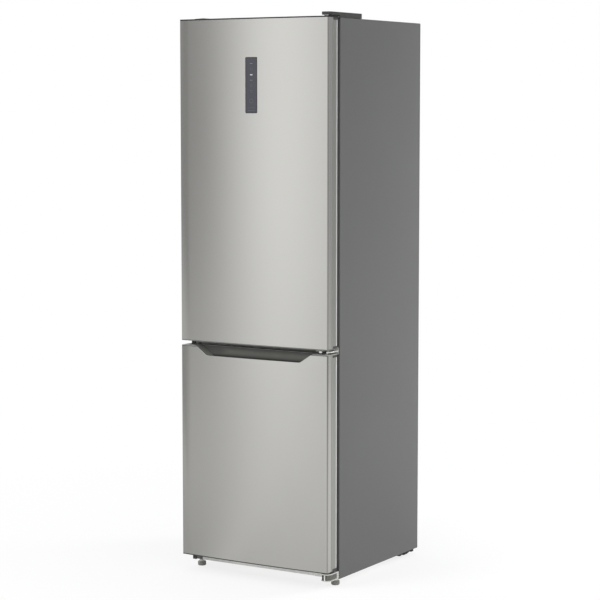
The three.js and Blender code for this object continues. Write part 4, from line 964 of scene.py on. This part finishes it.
CAMERA_PLACE = (3.603, -5.901, 1.633)
CAMERA_YAW = 31.457              # degrees
CAMERA_PITCH = 5.667             # degrees downwards
CAMERA_LENS = 117.19             # millimetres, on a sensor as wide as CAMERA_SENSOR
CAMERA_SENSOR = 36
WHITE = (1, 1, 1, 1)
SKY_COLOR = (0.98, 0.99, 1.0, 1)
SKY_STRENGTH = 0.7
FLOOR_REACH = 30
FLOOR_COLOR = (0.76, 0.76, 0.75, 1)
FLOOR_FADE = (0.6, 2.2)          # the floor turns from lit to plain white between these radii
FLOOR_SHADOW_LIFT = 0.78         # share of plain white that it has near the object
SCREEN_DISTANCE = 4.2
SCREEN_FOOT = 0.002              # height of its lower edge, just off the floor
SCREEN_HEIGHT = 5.0
SCREEN_SIDES = 72
SCREEN_FULL_CONTRAST = 1.0       # height over which the screen's gradient fades in
SCREEN_FOOT_CONTRAST = 0.5       # and its share down at the floor
SCREEN_STRENGTH = 1.4            # a colour ramp ends at 1, so the lamp behind it is this strong
SCREEN_EVEN = 0.68               # the even brightness that the gradient fades to
SCREEN_STOPS = (                 # degrees from -Y towards +X, brightness
    (-180, 0.9), (-130, 0.7), (-80, 0.6), (-55, 0.34), (-43, 0.25), (-37, 0.33), (-32, 0.86),
    (-26, 1.25), (-19, 0.72), (-5, 0.7), (30, 0.6), (60, 0.8), (100, 0.45), (128, 0.27),
    (146, 0.44), (155, 0.3), (174, 0.95), (180, 0.9),
)
FLOOR_STOPS = (                  # the same for the floor as the steel mirrors it
    (-180, 0.7), (-80, 0.6), (-50, 0.56), (-42, 0.54), (-36, 0.57), (-30, 0.72), (-25, 0.825),
    (-20, 0.73), (-12, 0.71), (5, 0.76), (30, 0.7), (70, 0.8), (115, 0.95), (145, 0.76),
    (180, 0.95),
)
FLOOR_SHADE = (0.7, 2.6, 0.8)    # it is darker within the first radius, and even from the second


def empty_tree(owner):
    """The node tree of a new world or material, with nothing in it."""
    owner.use_nodes = True
    owner.node_tree.nodes.clear()
    return owner.node_tree


def path_share(tree, *names):
    """1 for rays of the named kinds, else 0."""
    light_path = add_node(tree, "ShaderNodeLightPath")
    share = light_path.outputs[names[0]]
    for name in names[1:]:
        larger = add_node(tree, "ShaderNodeMath", {
            0: share, 1: light_path.outputs[name],
        }, operation="MAXIMUM")
        share = larger.outputs[0]
    return share


def mix_shaders(tree, share, a, b):
    """Shader a where the share is 0 and b where it is 1."""
    return add_node(tree, "ShaderNodeMixShader", {0: share, 1: a, 2: b}).outputs[0]


def studio_world():
    """Even soft light, and white where the background is seen straight, mirrored or through
    glass."""
    world = bpy.data.worlds.new("studio")
    bpy.context.scene.world = world
    tree = empty_tree(world)
    light = add_node(tree, "ShaderNodeBackground", {"Color": SKY_COLOR, "Strength": SKY_STRENGTH})
    white = add_node(tree, "ShaderNodeBackground", {"Color": WHITE, "Strength": 1.0})
    seen = path_share(tree, "Is Camera Ray", "Is Glossy Ray", "Is Transmission Ray")
    mixed = mix_shaders(tree, seen, light.outputs[0], white.outputs[0])
    add_node(tree, "ShaderNodeOutputWorld", {"Surface": mixed})


def stage_mesh(name, corners, faces, material):
    """Adds a mesh that belongs to the studio, not to the object."""
    mesh = bpy.data.meshes.new(name)
    mesh.from_pydata(corners, [], faces)
    obj = bpy.data.objects.new(name, mesh)
    bpy.context.scene.collection.objects.link(obj)
    obj.data.materials.append(material)
    return obj


def compass_glow(tree, levels):
    """Brightness that turns with the compass round the object, and the place and its height."""
    place = add_node(tree, "ShaderNodeTexCoord").outputs["Object"]
    axes = add_node(tree, "ShaderNodeSeparateXYZ", {0: place})
    forward = add_node(tree, "ShaderNodeMath", {0: axes.outputs["Y"], 1: -1}, operation="MULTIPLY")
    turn = add_node(tree, "ShaderNodeMath", {
        0: axes.outputs["X"], 1: forward.outputs[0],
    }, operation="ARCTAN2")
    share = map_range(tree, turn.outputs[0], -math.pi, math.pi)
    ramp = add_node(tree, "ShaderNodeValToRGB", {0: share})
    ramp.color_ramp.interpolation = "B_SPLINE"
    stops = ramp.color_ramp.elements
    while len(stops) < len(levels):
        stops.new(0.5)
    for stop, (degrees, level) in zip(stops, levels):
        stop.position = degrees / 360 + 0.5
        stop.color = (level, level, level, 1)
    return ramp.outputs[0], place, axes.outputs["Z"]


def screen_glow(tree):
    """The screen's emission: its gradient fades to an even level down at the floor."""
    shares = [(degrees, level / SCREEN_STRENGTH) for degrees, level in SCREEN_STOPS]
    gradient, _, height = compass_glow(tree, shares)
    contrast = map_range(tree, height, 0, SCREEN_FULL_CONTRAST, SCREEN_FOOT_CONTRAST)
    even = SCREEN_EVEN / SCREEN_STRENGTH
    fading = blend_colors(tree, contrast, (even, even, even, 1), gradient)
    return add_node(tree, "ShaderNodeEmission", {
        "Color": fading, "Strength": SCREEN_STRENGTH,
    }).outputs[0]


def floor_glow(tree):
    """The floor as gloss shows it, darker in the object's own shade."""
    gradient, place, _ = compass_glow(tree, FLOOR_STOPS)
    radius = add_node(tree, "ShaderNodeVectorMath", {0: place}, operation="LENGTH")
    near, far, shade = FLOOR_SHADE
    strength = map_range(tree, radius.outputs["Value"], near, far, shade)
    return add_node(tree, "ShaderNodeEmission", {
        "Color": gradient, "Strength": strength,
    }).outputs[0]


def studio_floor():
    """Pale floor that keeps the contact shadow and fades to the white of the background."""
    material = bpy.data.materials.new("studio_floor")
    tree = empty_tree(material)
    lit = add_node(tree, "ShaderNodeBsdfDiffuse", {"Color": FLOOR_COLOR})
    shadowed = add_node(tree, "ShaderNodeBsdfDiffuse", {"Color": WHITE})
    white = add_node(tree, "ShaderNodeEmission", {"Strength": 1.0})
    place = add_node(tree, "ShaderNodeTexCoord").outputs["Object"]
    radius = add_node(tree, "ShaderNodeVectorMath", {0: place}, operation="LENGTH")
    lift = map_range(tree, radius.outputs["Value"], *FLOOR_FADE, FLOOR_SHADOW_LIFT)
    straight = mix_shaders(tree, lift, shadowed.outputs[0], white.outputs[0])
    other = mix_shaders(
        tree, path_share(tree, "Is Glossy Ray"), lit.outputs[0], floor_glow(tree),
    )
    final = mix_shaders(tree, path_share(tree, "Is Camera Ray"), other, straight)
    add_node(tree, "ShaderNodeOutputMaterial", {"Surface": final})
    stage_mesh("floor", [
        (-FLOOR_REACH, -FLOOR_REACH, 0), (FLOOR_REACH, -FLOOR_REACH, 0),
        (FLOOR_REACH, FLOOR_REACH, 0), (-FLOOR_REACH, FLOOR_REACH, 0),
    ], [(0, 1, 2, 3)], material)


def reflection_screen():
    """Round screen about the object, seen only in reflections: a soft gradient for the steel."""
    material = bpy.data.materials.new("reflection_screen")
    tree = empty_tree(material)
    add_node(tree, "ShaderNodeOutputMaterial", {"Surface": screen_glow(tree)})
    corners, faces = [], []
    for i, (cosine, sine) in enumerate(circle(SCREEN_SIDES)):
        x, y = SCREEN_DISTANCE * sine, -SCREEN_DISTANCE * cosine
        corners += [(x, y, SCREEN_FOOT), (x, y, SCREEN_HEIGHT)]
        j = (i + 1) % SCREEN_SIDES
        faces.append((2 * i, 2 * j, 2 * j + 1, 2 * i + 1))
    screen = stage_mesh("reflection_screen", corners, faces, material)
    screen.visible_camera = False
    screen.visible_diffuse = False
    screen.visible_transmission = False
    screen.visible_shadow = False


def soft_light(name, place, target, width, height, power):
    """A large lamp that lights the surfaces but leaves no spot in their gloss."""
    lamp = bpy.data.lights.new(name, "AREA")
    lamp.shape = "RECTANGLE"
    lamp.size = width
    lamp.size_y = height
    lamp.energy = power
    obj = bpy.data.objects.new(name, lamp)
    bpy.context.scene.collection.objects.link(obj)
    obj.location = place
    obj.rotation_euler = (Vector(target) - Vector(place)).to_track_quat("-Z", "Y").to_euler()
    obj.visible_glossy = False


def studio_camera():
    """A camera in the photo's view of the object."""
    camera = bpy.data.cameras.new("camera")
    camera.lens = CAMERA_LENS
    camera.sensor_width = CAMERA_SENSOR
    camera.clip_end = 100
    obj = bpy.data.objects.new("camera", camera)
    bpy.context.scene.collection.objects.link(obj)
    obj.location = CAMERA_PLACE
    obj.rotation_euler = (math.radians(90 - CAMERA_PITCH), 0, math.radians(CAMERA_YAW))
    bpy.context.scene.camera = obj


dress_solids()
display_marks()
notch_rim()
screws()
middle_hinge_clip()
middle_hinge_highlight_pad()
top_cover_shade_skirt()
for foot_side in ("left", "right"):
    foot_ribs(foot_side)

studio_world()
studio_floor()
reflection_screen()
soft_light("key", place=(-2.2, -4.2, 3.2), target=(0, 0, 1.1), width=2.4, height=2.4, power=120)
soft_light("fill", place=(1.6, 1.9, 1.0), target=(0.3, 0.25, 0.95), width=0.8, height=2.2, power=46)
studio_camera()
bpy.context.scene.view_settings.view_transform = "Standard"
